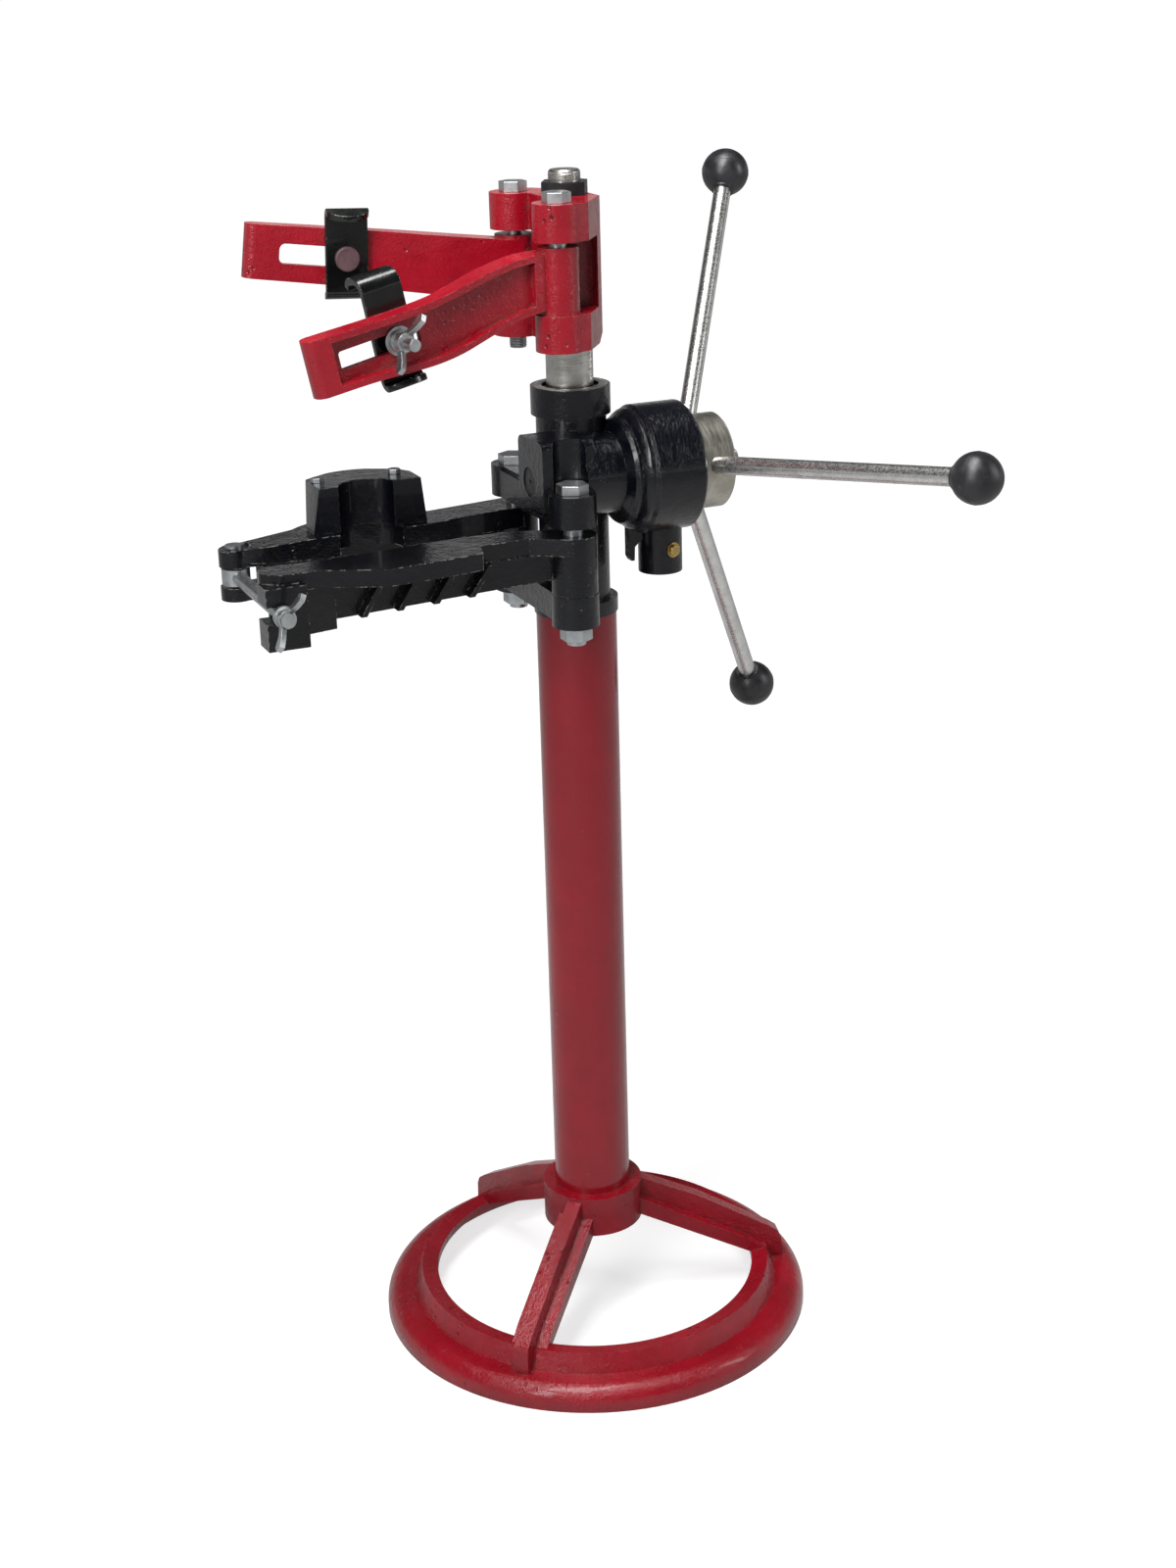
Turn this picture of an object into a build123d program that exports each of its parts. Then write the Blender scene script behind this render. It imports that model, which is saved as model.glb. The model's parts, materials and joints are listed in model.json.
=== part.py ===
"""Pedestal strut-spring compressor, in millimetres.

A cast ring foot carries a tube column. A cast gear housing on top of the column
guides a toothed lift bar. A three-handled wheel turns the bar's pinion through
a planetary reduction. Two slotted arms with hooks ride on the lift bar, and two
lower arms on the housing close round the strut, held by a swing bolt.

Frame: origin on the floor under the column's axis, +Z up, jaws towards -Y,
wheel towards +Y. The "near" arms stand on the +X side, the "far" ones on -X.
"""
from build123d import *
import math
import os

os.makedirs("parts", exist_ok=True)

# ---------------------------------------------------------------- clearances
RUN = 0.05            # radial running clearance of shafts and pins
SEAT = 0.3            # gap between separate bodies that face each other
FIT = 0.02            # radial gap of pieces fitted together in one body

# ---------------------------------------------------------------- foot and column
RING_R = 199.0        # outside radius of the cast ring
RING_INNER_R = 150.0
RING_H = 37.0         # height of the ring's inner band
RING_LIP = 30.0       # underside of the inner band, which is open below
HUB_R = 46.0          # raised socket for the tube
HUB_BOTTOM = 87.0
HUB_TOP = 125.0
HUB_FLOOR = 4.0       # lip under the tube
SPOKE_TURN = -45.0    # direction of the front spoke, degrees from +X
SPOKE_COUNT = 3
RIB_W = 13.5
FLANGE_W = 34.0
# side views of a spoke's upright rib and of its level flange: radius and height
SPOKE_RIB = [(40, 124), (100, 96), (170, 55), (178, 49), (181, 42), (182, 18), (170, 18), (160, 34),
             (150, 38), (40, 94)]
SPOKE_FLANGE = [(40, 107), (148, 49), (162, 38), (160, 32), (150, 35), (40, 90)]
COLUMN_R = 35.0
COLUMN_WALL = 3.5
COLUMN_TOP = 683.5

# ---------------------------------------------------------------- housing
TRUNK_R = 30.0
COLLAR_R = 34.0
COLLAR_H = 24.0
HOUSING_TOP = 881.0
FOOT_FLANGE_R = 36.5
FOOT_FLANGE_H = 12.5
SPIGOT_H = 33.0
BUSH_R = 24.0         # outside of the lift bar's bushes
BUSH_H = 32.0
GEAR_Z = 810.0        # height of the gear axis
NECK_R = 34.0
PAD_Y = -54.0         # front face of the shaft pad
PAD_W = 53.0
PAD_TOP = 847.0
PAD_BOTTOM = 785.0
CASE_R = 54.7
CASE_BORE_R = 50.1
CASE_REAR_Y = 85.5

# ---------------------------------------------------------------- lift bar and drive
BAR_R = 20.0
BAR_BOTTOM = 236.0
RACK_MODULE = 3.0
RACK_PITCH_X = 17.0   # pitch line of the rack teeth
RACK_ADDENDUM = 1.95  # stub rack teeth, so that the pinion isn't undercut
RACK_TEETH = 52
PINION_TEETH = 12
PINION_W = 26.0
GEAR_MODULE = 2.0
SUN_TEETH = 15
PLANET_TEETH = 15
RING_TEETH = SUN_TEETH + 2 * PLANET_TEETH
RING_ADDENDUM = 1.4   # short ring teeth clear the planets' roots
PLANET_COUNT = 3
BACKLASH = 0.26
PRESSURE = math.radians(20)
GEAR_W = 10.0
GEAR_Y = 48.4         # front face of the planetary gears
CARRIER_R = 44.0
CARRIER_Y = 42.3
CARRIER_W = 5.7
CASE_FLOOR_Y = 42.0
SHAFT_R = 10.0
FRONT_JOURNAL_R = 8.2
REAR_JOURNAL_R = 15.0
DRUM_R = 44.0
DRUM_Y = 59.5
DRUM_W = 11.0
COVER_Y = 73.5
COVER_W = 10.0

# ---------------------------------------------------------------- drag brake under the case
BARREL_R = 19.0
BARREL_BOTTOM = 719.0
PLUNGER_R = 8.93
PLUNGER_BOTTOM = 733.0
BRAKE_SPRING_R = 5.2  # mean radius of the coil
BRAKE_WIRE_R = 0.8
BRAKE_SPRING_TURNS = 6
CAP_H = 6.0
LIMIT_SCREW_TURN = 12.0
LIMIT_SCREW_Z = 740.0

# ---------------------------------------------------------------- handwheel
WHEEL_HUB_R = 40.6
WHEEL_HUB_Y = 88.0
WHEEL_HUB_W = 31.0
ROD_R = 7.75
KNOB_R = 21.0
KNOB_RADIAL = 272.7   # knob centre to the wheel's axis
KNOB_Y = 209.8
ROD_ROOT_Y = 101.4    # where a rod's axis crosses the radius ROD_ROOT_RADIAL
ROD_ROOT_RADIAL = 36.0
ROD_INNER_RADIAL = 27.0
WHEEL_TURN = 5.88     # direction of the first rod, degrees from +X
HANDLE_COUNT = 3
STUD_R = 7.0          # threaded shaft end
STUD_END_Y = 138.0
HUB_NUT_AF = 21.0
HUB_NUT_H = 11.0
HUB_WASHER_R = 14.0
HUB_WASHER_H = 2.5

# ---------------------------------------------------------------- bracket on the lift bar
BRACKET_BOTTOM = 919.2
BRACKET_TOP = 1038.5
UPPER_PIVOT_X = 47.0
UPPER_PIVOT_Y = -27.0
UPPER_LUG_R = 20.4
UPPER_BARREL_R = 17.0
UPPER_BARREL_BOTTOM = 950.0
UPPER_BARREL_TOP = 1003.7
POCKET_TOP = 1008.0
CORE_HALF = 24.0
BRACKET_REAR_Y = 21.0
BRACKET_WALL = 8.0
BAR_SPIGOT_R = 15.0
BAR_THREAD_R = 13.2
BAR_TOP = 1059.0
TOP_NUT_AF = 36.0
TOP_NUT_H = 11.0
PIVOT_BOLT_R = 7.0
PIVOT_BOLT_AF = 21.0
PIVOT_HEAD_H = 8.5
NEAR_BOLT_END = -1.0  # thread that shows past the lower lug
FAR_BOLT_END = 11.5

# ---------------------------------------------------------------- upper arms and hooks
UPPER_SPLAY = 7.9     # degrees outwards
UPPER_REACH = 228.0
WEB_INNER = -6.0      # inner face of the arm's web, across the arm
WEB_T = 7.0
ARM_T = 20.0
FLANGE_T = 5.5
SLOT_START = 128.0
SLOT_END = 200.0
HOOK_W = 35.0
HOOK_T = 5.5
HOOK_BOLT_R = 5.0
HOOK_HEAD_R = 10.3
HOOK_HEAD_H = 4.0
HOOK_WASHER_R = 12.0
HOOK_WASHER_H = 2.0
HOOK_STUD_END = 30.0
# side views of the arms: reach from the pivot and height of the top and bottom edges,
# height of the slot's middle line at the pivot, its rise per mm of reach, its height and corner radius,
# the hook bolt's reach, and how many degrees less the hook's plate leans than the slot
NEAR_ARM = {"top": [(0, 999), (41, 997.3), (120, 974.5), (150, 967.7), (228, 953.9), (250, 950)],
            "bottom": [(0, 954), (70, 939.7), (104, 927.7), (134, 921.8), (160, 918.8), (228, 907.3), (250, 903.6)],
            "slot_root": 974.25, "slot_rise": -0.2025, "slot_h": 14.8, "slot_corner": 2.5,
            "hook_at": 148.0, "hook_tilt": 0.0}
FAR_ARM = {"top": [(0, 999.6), (250, 1028.35)], "bottom": [(0, 948.5), (250, 984.5)],
           "slot_root": 974.05, "slot_rise": 0.1295, "slot_h": 16.5, "slot_corner": 5.0,
           "hook_at": 145.0, "hook_tilt": 5.0}

# ---------------------------------------------------------------- lower arms
NEAR_PIVOT_X = 70.0
FAR_PIVOT_X = -60.0
LOWER_PIVOT_Y = -30.0
LOWER_LUG_R = 20.0
LOWER_TOP = 770.0
FAR_PLATE_T = 18.0
NEAR_PLATE_T = 14.5
LOWER_BARREL_BOTTOM = 720.0
LUG_TOP = 805.0
LUG_BOTTOM = 778.0
LOW_LUG_TOP = 719.7
LOW_LUG_BOTTOM = 692.0
LOW_BOLT_R = 8.0      # the lower arms' pivot bolts
LOW_BOLT_AF = 24.0
LOW_HEAD_H = 8.0
LOW_NUT_H = 12.5
LOW_BOLT_END = 4.5
SADDLE_TOP = 809.0
SADDLE_FACE_X = -31.0
SADDLE_MID_Y = -175.0
SADDLE_FRONT_Y = -223.0
SADDLE_REAR_Y = -122.0
GROOVE_R = 25.0
SADDLE_BOLT_R = 3.0
SADDLE_BOLT_AF = 10.0
SADDLE_HEAD_H = 4.0
SADDLE_BOLT_DEEP = 14.0
SWING_X = -50.0       # swing bolt's pin
SWING_Y = -287.0
SWING_Z = 740.0
SWING_BOLT_R = 6.0
SWING_EYE_R = 12.0
SWING_EYE_T = 14.0
SWING_PIN_R = 5.0
TIP_LUG_R = 13.5
SWING_GAP = 17.0
SWING_HEAD_R = 7.5
LUG_FLAT_Z = 764.0    # seat of the swing pin's head
LOWER_LUG_Z = 720.0   # underside of the far arm's tip
CLAMP_FACE_X = 84.0   # outer face of the near arm's clamp block
NUT_SLACK = 4.0       # the loosened wing nut stands this far off the block
SWING_STUD_PAST = 4.0
WING_HUB_R = 9.0
WING_HUB_H = 11.0


# ================================================================ helpers
def disc(plane, radius, length, mode=Mode.ADD):
    """Add or cut a round bar that starts on a plane and runs along its normal."""
    with BuildSketch(plane) as sketch:
        Circle(radius)
    extrude(sketch.sketch, amount=length, mode=mode)


def hexagon(plane, across_flats, length, turned=0):
    with BuildSketch(plane) as sketch:
        RegularPolygon(across_flats / 2, 6, major_radius=False, rotation=turned)
    extrude(sketch.sketch, amount=length)


def block(plane, points, length, mode=Mode.ADD, both=False):
    """Add or cut a flat-sided block whose outline lies in a plane."""
    with BuildSketch(plane) as sketch:
        Polygon(*points, align=None)
    extrude(sketch.sketch, amount=length, both=both, mode=mode)


def level(z, x=0.0, y=0.0):
    """Horizontal plane facing up."""
    return Plane(origin=(x, y, z), x_dir=(1, 0, 0), z_dir=(0, 0, 1))


def rearward(y, x=0.0, z=0.0):
    """Upright plane facing the wheel, +Y."""
    return Plane(origin=(x, y, z), x_dir=(-1, 0, 0), z_dir=(0, 1, 0))


def side_on(x):
    """Upright plane facing +X, with Y across and Z up."""
    return Plane(origin=(x, 0, 0), x_dir=(0, 1, 0), z_dir=(1, 0, 0))


def finish(part, label):
    part.label = label
    export_step(part, f"parts/{label}.step")


def bolt(plane, radius, length, across_flats, head_h):
    """Hexagon bolt: the head stands on the plane and the shank runs below it."""
    hexagon(plane, across_flats, head_h)
    disc(plane, radius, -length)


PINION_R = RACK_MODULE * PINION_TEETH / 2
GEAR_X = RACK_PITCH_X + PINION_R
PLANET_RADIAL = GEAR_MODULE * (SUN_TEETH + PLANET_TEETH) / 2


def gear_plane(y):
    """Plane across the gear axis, facing the wheel; local x is -X, local y is +Z."""
    return rearward(y, GEAR_X, GEAR_Z)


def involute(angle):
    return math.tan(angle) - angle


def flank_half_angle(radius, module, teeth, inward=0.0):
    """Half the angle of a tooth at a radius, thinned for backlash."""
    pitch_r = module * teeth / 2
    base_r = pitch_r * math.cos(PRESSURE)
    half = math.pi / (2 * teeth) - BACKLASH / (4 * pitch_r) + inward
    return half + involute(PRESSURE) - involute(math.acos(min(1.0, base_r / radius)))


def gear_outline(module, teeth, tip_r, root_r, turn):
    """Closed outline of an external gear with one tooth centred at the angle turn."""
    base_r = module * teeth / 2 * math.cos(PRESSURE)
    start_r = max(base_r, root_r)
    radii = [start_r + (tip_r - start_r) * i / 5 for i in range(6)]
    points = []
    for tooth in range(teeth):
        centre = turn + 2 * math.pi * tooth / teeth
        flank = [(r, flank_half_angle(r, module, teeth)) for r in radii]
        rising = [(root_r, flank[0][1])] + flank
        for r, half in rising:
            points.append((r * math.cos(centre - half), r * math.sin(centre - half)))
        for r, half in reversed(rising):
            points.append((r * math.cos(centre + half), r * math.sin(centre + half)))
    return points


def ring_outline(module, teeth, tip_r, root_r, turn):
    """Closed outline of an internal gear's hole with one tooth space centred at turn."""
    pitch_r = module * teeth / 2
    base_r = pitch_r * math.cos(PRESSURE)
    wider = BACKLASH / (2 * pitch_r)
    radii = [tip_r + (root_r - tip_r) * i / 5 for i in range(6)]
    points = []
    for space in range(teeth):
        centre = turn + 2 * math.pi * space / teeth
        halves = [(r, flank_half_angle(r, module, teeth, wider)) for r in radii if r > base_r]
        for r, half in halves:
            points.append((r * math.cos(centre - half), r * math.sin(centre - half)))
        for r, half in reversed(halves):
            points.append((r * math.cos(centre + half), r * math.sin(centre + half)))
    return points


# ================================================================ foot and column
with BuildPart() as base_ring:
    with BuildSketch(Plane.XZ) as ring_section:
        with BuildLine():
            Polyline((RING_INNER_R, RING_LIP), (RING_INNER_R, RING_H), (RING_INNER_R + 15, RING_H + 2),
                     (RING_INNER_R + 22, 22), (RING_R - 16, 22))
            RadiusArc((RING_R - 16, 22), (RING_R, 6), 16)
            Polyline((RING_R, 6), (RING_R, 0), (RING_R - 8, 0), (RING_R - 12, 13), (RING_INNER_R + 18, 13),
                     (RING_INNER_R + 11, RING_LIP), (RING_INNER_R, RING_LIP))
        make_face()
    revolve(axis=Axis.Z)
    disc(level(HUB_BOTTOM), HUB_R, HUB_TOP - HUB_BOTTOM)
    for number in range(SPOKE_COUNT):
        turn = math.radians(SPOKE_TURN + 360 / SPOKE_COUNT * number)
        spoke_side = Plane(origin=(0, 0, 0), x_dir=(math.cos(turn), math.sin(turn), 0),
                           z_dir=(math.sin(turn), -math.cos(turn), 0))
        block(spoke_side, SPOKE_RIB, RIB_W / 2, both=True)
        block(spoke_side, SPOKE_FLANGE, FLANGE_W / 2, both=True)
    disc(level(HUB_BOTTOM + HUB_FLOOR), COLUMN_R + FIT, HUB_TOP, Mode.SUBTRACT)
    disc(level(0), COLUMN_R - COLUMN_WALL, HUB_TOP, Mode.SUBTRACT)
finish(base_ring.part, "base_ring")

with BuildPart() as column_tube:
    foot = HUB_BOTTOM + HUB_FLOOR
    disc(level(foot), COLUMN_R, COLUMN_TOP - foot)
    disc(level(foot), COLUMN_R - COLUMN_WALL, COLUMN_TOP - foot, Mode.SUBTRACT)
finish(column_tube.part, "column_tube")

# ================================================================ gear housing
NECK_BASE_Y = 20.0
BEAD_R = 46.0
BEAD_Y = 26.0
SECOND_BEAD_R = 52.0
SECOND_BEAD_Y = 36.0
CHAMBER_R = PINION_R + RACK_MODULE + 2
CHAMBER_HALF = PINION_W / 2 + 2
FRONT_BUSH_R = 12.5
CARRIER_BUSH_R = 20.0
RING_SEAT_R = 48.0
CIRCLIP_R = 51.5
CIRCLIP_T = 1.4
LUG_BACK_Y = -12.0
LUG_FRONT_Y = -47.0
BARREL_Y = DRUM_Y + DRUM_W / 2
FIN_BOTTOM = 731.0
SPOT_FACE_R = 15.5    # room for the lower pivot bolts' heads

with BuildPart() as main_housing:
    disc(level(COLUMN_TOP - SPIGOT_H), COLUMN_R - COLUMN_WALL - FIT, SPIGOT_H)
    disc(level(COLUMN_TOP), FOOT_FLANGE_R, FOOT_FLANGE_H)
    disc(level(COLUMN_TOP), TRUNK_R, HOUSING_TOP - COLUMN_TOP)
    disc(level(HOUSING_TOP - COLLAR_H), COLLAR_R, COLLAR_H)
    # shaft pad, neck, beads and gear case along the gear axis
    block(rearward(PAD_Y, GEAR_X + 4), [(-PAD_W / 2, PAD_BOTTOM), (PAD_W / 2, PAD_BOTTOM),
          (PAD_W / 2, PAD_TOP), (-PAD_W / 2, PAD_TOP)], NECK_R + 12)
    fillet(main_housing.edges().filter_by(Axis.Y).filter_by_position(Axis.Z, PAD_BOTTOM - 1, PAD_TOP + 1), 7)
    disc(gear_plane(-30), NECK_R, NECK_BASE_Y + 34)
    with BuildSketch(Plane(origin=(GEAR_X, 0, GEAR_Z), x_dir=(0, 1, 0), z_dir=(1, 0, 0))) as case_section:
        with BuildLine():
            Polyline((NECK_BASE_Y, 0), (NECK_BASE_Y, NECK_R), (BEAD_Y - 2, BEAD_R - 2), (BEAD_Y + 1, BEAD_R),
                     (BEAD_Y + 4, BEAD_R - 0.5), (SECOND_BEAD_Y - 3, SECOND_BEAD_R - 2),
                     (SECOND_BEAD_Y, SECOND_BEAD_R), (SECOND_BEAD_Y + 3, SECOND_BEAD_R),
                     (SECOND_BEAD_Y + 6, CASE_R), (CASE_REAR_Y - 2, CASE_R), (CASE_REAR_Y, CASE_R - 1.5),
                     (CASE_REAR_Y, 0), (NECK_BASE_Y, 0))
        make_face()
    revolve(axis=Axis((GEAR_X, 0, GEAR_Z), (0, 1, 0)))
    # brake barrel and fin under the case
    disc(level(BARREL_BOTTOM, GEAR_X, BARREL_Y), BARREL_R, GEAR_Z - BARREL_BOTTOM - CASE_BORE_R + 2)
    block(side_on(GEAR_X), [(34, GEAR_Z - NECK_R), (34, FIN_BOTTOM + 4), (36, FIN_BOTTOM), (39, FIN_BOTTOM),
                            (39.5, FIN_BOTTOM + 12), (BARREL_Y - BARREL_R + 6, GEAR_Z - CASE_R - 1),
                            (BARREL_Y - BARREL_R + 6, GEAR_Z - NECK_R)], 4.5, both=True)
    # lugs for the lower arms
    for pivot_x in (NEAR_PIVOT_X, FAR_PIVOT_X):
        disc(level(LUG_BOTTOM, pivot_x, LOWER_PIVOT_Y), LOWER_LUG_R, LUG_TOP - LUG_BOTTOM)
        disc(level(LOW_LUG_BOTTOM, pivot_x, LOWER_PIVOT_Y), LOWER_LUG_R, LOW_LUG_TOP - LOW_LUG_BOTTOM)
    lug_span = NEAR_PIVOT_X - FAR_PIVOT_X
    block(side_on(FAR_PIVOT_X), [(LUG_FRONT_Y, LUG_BOTTOM), (LUG_FRONT_Y, LUG_TOP - 3), (LUG_FRONT_Y + 3, LUG_TOP),
                                 (LUG_BACK_Y, LUG_TOP), (LUG_BACK_Y, LUG_BOTTOM)], lug_span)
    block(side_on(0), [(LUG_FRONT_Y, LOW_LUG_TOP), (LUG_FRONT_Y, LOW_LUG_BOTTOM + 6),
                       (LUG_FRONT_Y + 12, LOW_LUG_BOTTOM - 4), (0, COLUMN_TOP + 4), (0, LOW_LUG_TOP)],
          COLUMN_R, both=True)
    block(side_on(FAR_PIVOT_X), [(LUG_FRONT_Y, LOW_LUG_TOP), (LUG_FRONT_Y, LOW_LUG_BOTTOM + 4),
                                 (LUG_FRONT_Y + 6, LOW_LUG_BOTTOM), (LUG_BACK_Y, LOW_LUG_BOTTOM),
                                 (LUG_BACK_Y, LOW_LUG_TOP)], lug_span)
    # passage of the lift bar and its bush seats
    disc(level(COLUMN_TOP - SPIGOT_H), BAR_R + 1.5, HOUSING_TOP, Mode.SUBTRACT)
    disc(level(COLUMN_TOP - SPIGOT_H), BUSH_R, BUSH_H, Mode.SUBTRACT)
    disc(level(HOUSING_TOP), BUSH_R, -BUSH_H - 3, Mode.SUBTRACT)
    disc(level(HOUSING_TOP), BUSH_R + 3, -3, Mode.SUBTRACT)
    # bores along the gear axis
    disc(gear_plane(PAD_Y), FRONT_BUSH_R, 60, Mode.SUBTRACT)
    disc(gear_plane(-CHAMBER_HALF), CHAMBER_R, 2 * CHAMBER_HALF, Mode.SUBTRACT)
    disc(gear_plane(0), CARRIER_BUSH_R, 50, Mode.SUBTRACT)
    disc(gear_plane(CASE_FLOOR_Y), RING_SEAT_R, 20, Mode.SUBTRACT)
    disc(gear_plane(GEAR_Y), CASE_BORE_R, 60, Mode.SUBTRACT)
    disc(gear_plane(COVER_Y + COVER_W), CIRCLIP_R, CIRCLIP_T + 0.1, Mode.SUBTRACT)
    # plunger bore and limit screw hole
    disc(level(BARREL_BOTTOM, GEAR_X, BARREL_Y), PLUNGER_R + RUN + 0.02, 60, Mode.SUBTRACT)
    turn = math.radians(LIMIT_SCREW_TURN)
    screw_line = Plane(origin=(GEAR_X, BARREL_Y, LIMIT_SCREW_Z), x_dir=(0, 0, 1),
                       z_dir=(math.cos(turn), math.sin(turn), 0))
    disc(screw_line, 2.5 + FIT, BARREL_R + 2, Mode.SUBTRACT)
    disc(screw_line.offset(BARREL_R - 0.6), 7, 4, Mode.SUBTRACT)
    for pivot_x in (NEAR_PIVOT_X, FAR_PIVOT_X):
        disc(level(LOW_LUG_BOTTOM - 5, pivot_x, LOWER_PIVOT_Y), LOW_BOLT_R + RUN, 130, Mode.SUBTRACT)
        disc(level(LUG_TOP, pivot_x, LOWER_PIVOT_Y), SPOT_FACE_R, 45, Mode.SUBTRACT)
finish(main_housing.part, "main_housing")


def bush(label, plane, outer, bore, length):
    with BuildPart() as piece:
        disc(plane, outer, length)
        disc(plane, bore, length, Mode.SUBTRACT)
    finish(piece.part, label)


bush("upper_guide_bush", level(HOUSING_TOP - BUSH_H - 3), BUSH_R - FIT, BAR_R + RUN, BUSH_H)
bush("lower_guide_bush", level(COLUMN_TOP - SPIGOT_H), BUSH_R - FIT, BAR_R + RUN, BUSH_H)
bush("front_shaft_bush", gear_plane(PAD_Y + 1), FRONT_BUSH_R - FIT, FRONT_JOURNAL_R + RUN,
     -CHAMBER_HALF - PAD_Y - 1)
bush("carrier_bush", gear_plane(CHAMBER_HALF), CARRIER_BUSH_R - FIT, REAR_JOURNAL_R + RUN,
     CASE_FLOOR_Y - CHAMBER_HALF)
bush("cover_bush", gear_plane(COVER_Y), SHAFT_R + 4, SHAFT_R + RUN, COVER_W)
bush("case_cover", gear_plane(COVER_Y), CASE_BORE_R - RUN, SHAFT_R + 4 + FIT, COVER_W)

with BuildPart() as ring_gear:
    disc(gear_plane(GEAR_Y), CASE_BORE_R - RUN, GEAR_W)
    ring_r = GEAR_MODULE * RING_TEETH / 2
    block(gear_plane(GEAR_Y), ring_outline(GEAR_MODULE, RING_TEETH, ring_r - RING_ADDENDUM,
                                           ring_r + 1.25 * GEAR_MODULE, math.pi / 2),
          GEAR_W, Mode.SUBTRACT)
finish(ring_gear.part, "ring_gear")

with BuildPart() as cover_circlip:
    disc(gear_plane(COVER_Y + COVER_W + 0.05), CIRCLIP_R - 0.1, CIRCLIP_T)
    disc(gear_plane(COVER_Y + COVER_W + 0.05), CIRCLIP_R - 4.5, CIRCLIP_T, Mode.SUBTRACT)
    block(gear_plane(COVER_Y + COVER_W + 0.05), [(-6, 40), (6, 40), (6, 60), (-6, 60)], CIRCLIP_T, Mode.SUBTRACT)
finish(cover_circlip.part, "cover_circlip")

# ================================================================ drag brake
PLUNGER_TOP = GEAR_Z - DRUM_R - SEAT
PLUNGER_SHOULDER = 757.0
PLUNGER_NOSE_R = 6.1  # passes between the ring gear and the cover
SPRING_POCKET_TOP = 747.0
with BuildPart() as brake_plunger:
    disc(level(PLUNGER_BOTTOM, GEAR_X, BARREL_Y), PLUNGER_R, PLUNGER_SHOULDER - PLUNGER_BOTTOM)
    disc(level(PLUNGER_BOTTOM, GEAR_X, BARREL_Y), PLUNGER_NOSE_R, PLUNGER_TOP - PLUNGER_BOTTOM)
    disc(level(PLUNGER_BOTTOM, GEAR_X, BARREL_Y), 6.4, SPRING_POCKET_TOP - PLUNGER_BOTTOM, Mode.SUBTRACT)
    block(screw_line.offset(7.2), [(-4.5, -3), (9, -3), (9, 3), (-4.5, 3)], 4, Mode.SUBTRACT)
finish(brake_plunger.part, "brake_plunger")

CAP_TOP = BARREL_BOTTOM + CAP_H
with BuildPart() as brake_cap:
    disc(level(BARREL_BOTTOM, GEAR_X, BARREL_Y), PLUNGER_R + RUN, CAP_H)
    block(level(BARREL_BOTTOM, GEAR_X, BARREL_Y), [(-6, -1), (6, -1), (6, 1), (-6, 1)], 2, Mode.SUBTRACT)
finish(brake_cap.part, "brake_cap")

with BuildPart() as brake_spring:
    spring_start = CAP_TOP + BRAKE_WIRE_R + 0.1
    spring_length = SPRING_POCKET_TOP - BRAKE_WIRE_R - 0.1 - spring_start
    with BuildLine():
        coil = Helix(pitch=spring_length / BRAKE_SPRING_TURNS, height=spring_length, radius=BRAKE_SPRING_R,
                     center=(GEAR_X, BARREL_Y, spring_start))
    with BuildSketch(Plane(origin=coil @ 0, z_dir=coil % 0)):
        Circle(BRAKE_WIRE_R)
    sweep(is_frenet=True)
finish(brake_spring.part, "brake_spring")

with BuildPart() as limit_screw:
    disc(screw_line.offset(7.6), 2.5, BARREL_R - 7.6 + 1.2)
    disc(screw_line.offset(BARREL_R + 0.6), 5, 3)
    fillet(limit_screw.faces().sort_by(SortBy.DISTANCE)[-1].edges(), 1.2)
finish(limit_screw.part, "limit_screw")
with BuildPart() as limit_screw_washer:
    disc(screw_line.offset(BARREL_R - 0.6), 6.5, 1.2)
    disc(screw_line.offset(BARREL_R - 0.6), 2.5 + FIT, 1.2, Mode.SUBTRACT)
finish(limit_screw_washer.part, "limit_screw_washer")

# ================================================================ drive train
TOOTH_UP = math.pi / 2
CARRIER_END = CARRIER_Y + CARRIER_W
PILOT_R = 5.0
PILOT_IN = 8.0
PLANET_PIN_R = 5.0
KEY_W = 6.0
KEY_H = 6.0
HUB_END = WHEEL_HUB_Y + WHEEL_HUB_W

with BuildPart() as pinion_shaft:
    disc(gear_plane(PAD_Y + 1), FRONT_JOURNAL_R, -PAD_Y)
    block(gear_plane(-PINION_W / 2),
          gear_outline(RACK_MODULE, PINION_TEETH, PINION_R + RACK_MODULE, PINION_R - 1.25 * RACK_MODULE, 0),
          PINION_W)
    disc(gear_plane(PINION_W / 2), REAR_JOURNAL_R, CARRIER_Y - PINION_W / 2)
    disc(gear_plane(CARRIER_Y), SHAFT_R, CARRIER_W)
    disc(gear_plane(CARRIER_END), PILOT_R, -PILOT_IN, Mode.SUBTRACT)
    disc(gear_plane(PAD_Y + 1), 2.0, 4, Mode.SUBTRACT)
finish(pinion_shaft.part, "pinion_shaft")

with BuildPart() as planet_carrier:
    disc(gear_plane(CARRIER_Y), CARRIER_R, CARRIER_W)
    disc(gear_plane(CARRIER_Y), SHAFT_R + FIT, CARRIER_W, Mode.SUBTRACT)
    with BuildSketch(gear_plane(CARRIER_Y)):
        with PolarLocations(PLANET_RADIAL, PLANET_COUNT, start_angle=90):
            Circle(PLANET_PIN_R + FIT)
    extrude(amount=CARRIER_W, mode=Mode.SUBTRACT)
finish(planet_carrier.part, "planet_carrier")

with BuildPart() as planet_pins:
    with BuildSketch(gear_plane(CARRIER_Y)):
        with PolarLocations(PLANET_RADIAL, PLANET_COUNT, start_angle=90):
            Circle(PLANET_PIN_R)
    extrude(amount=GEAR_Y + GEAR_W + 0.5 - CARRIER_Y)
finish(planet_pins.part, "planet_pins")

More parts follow.
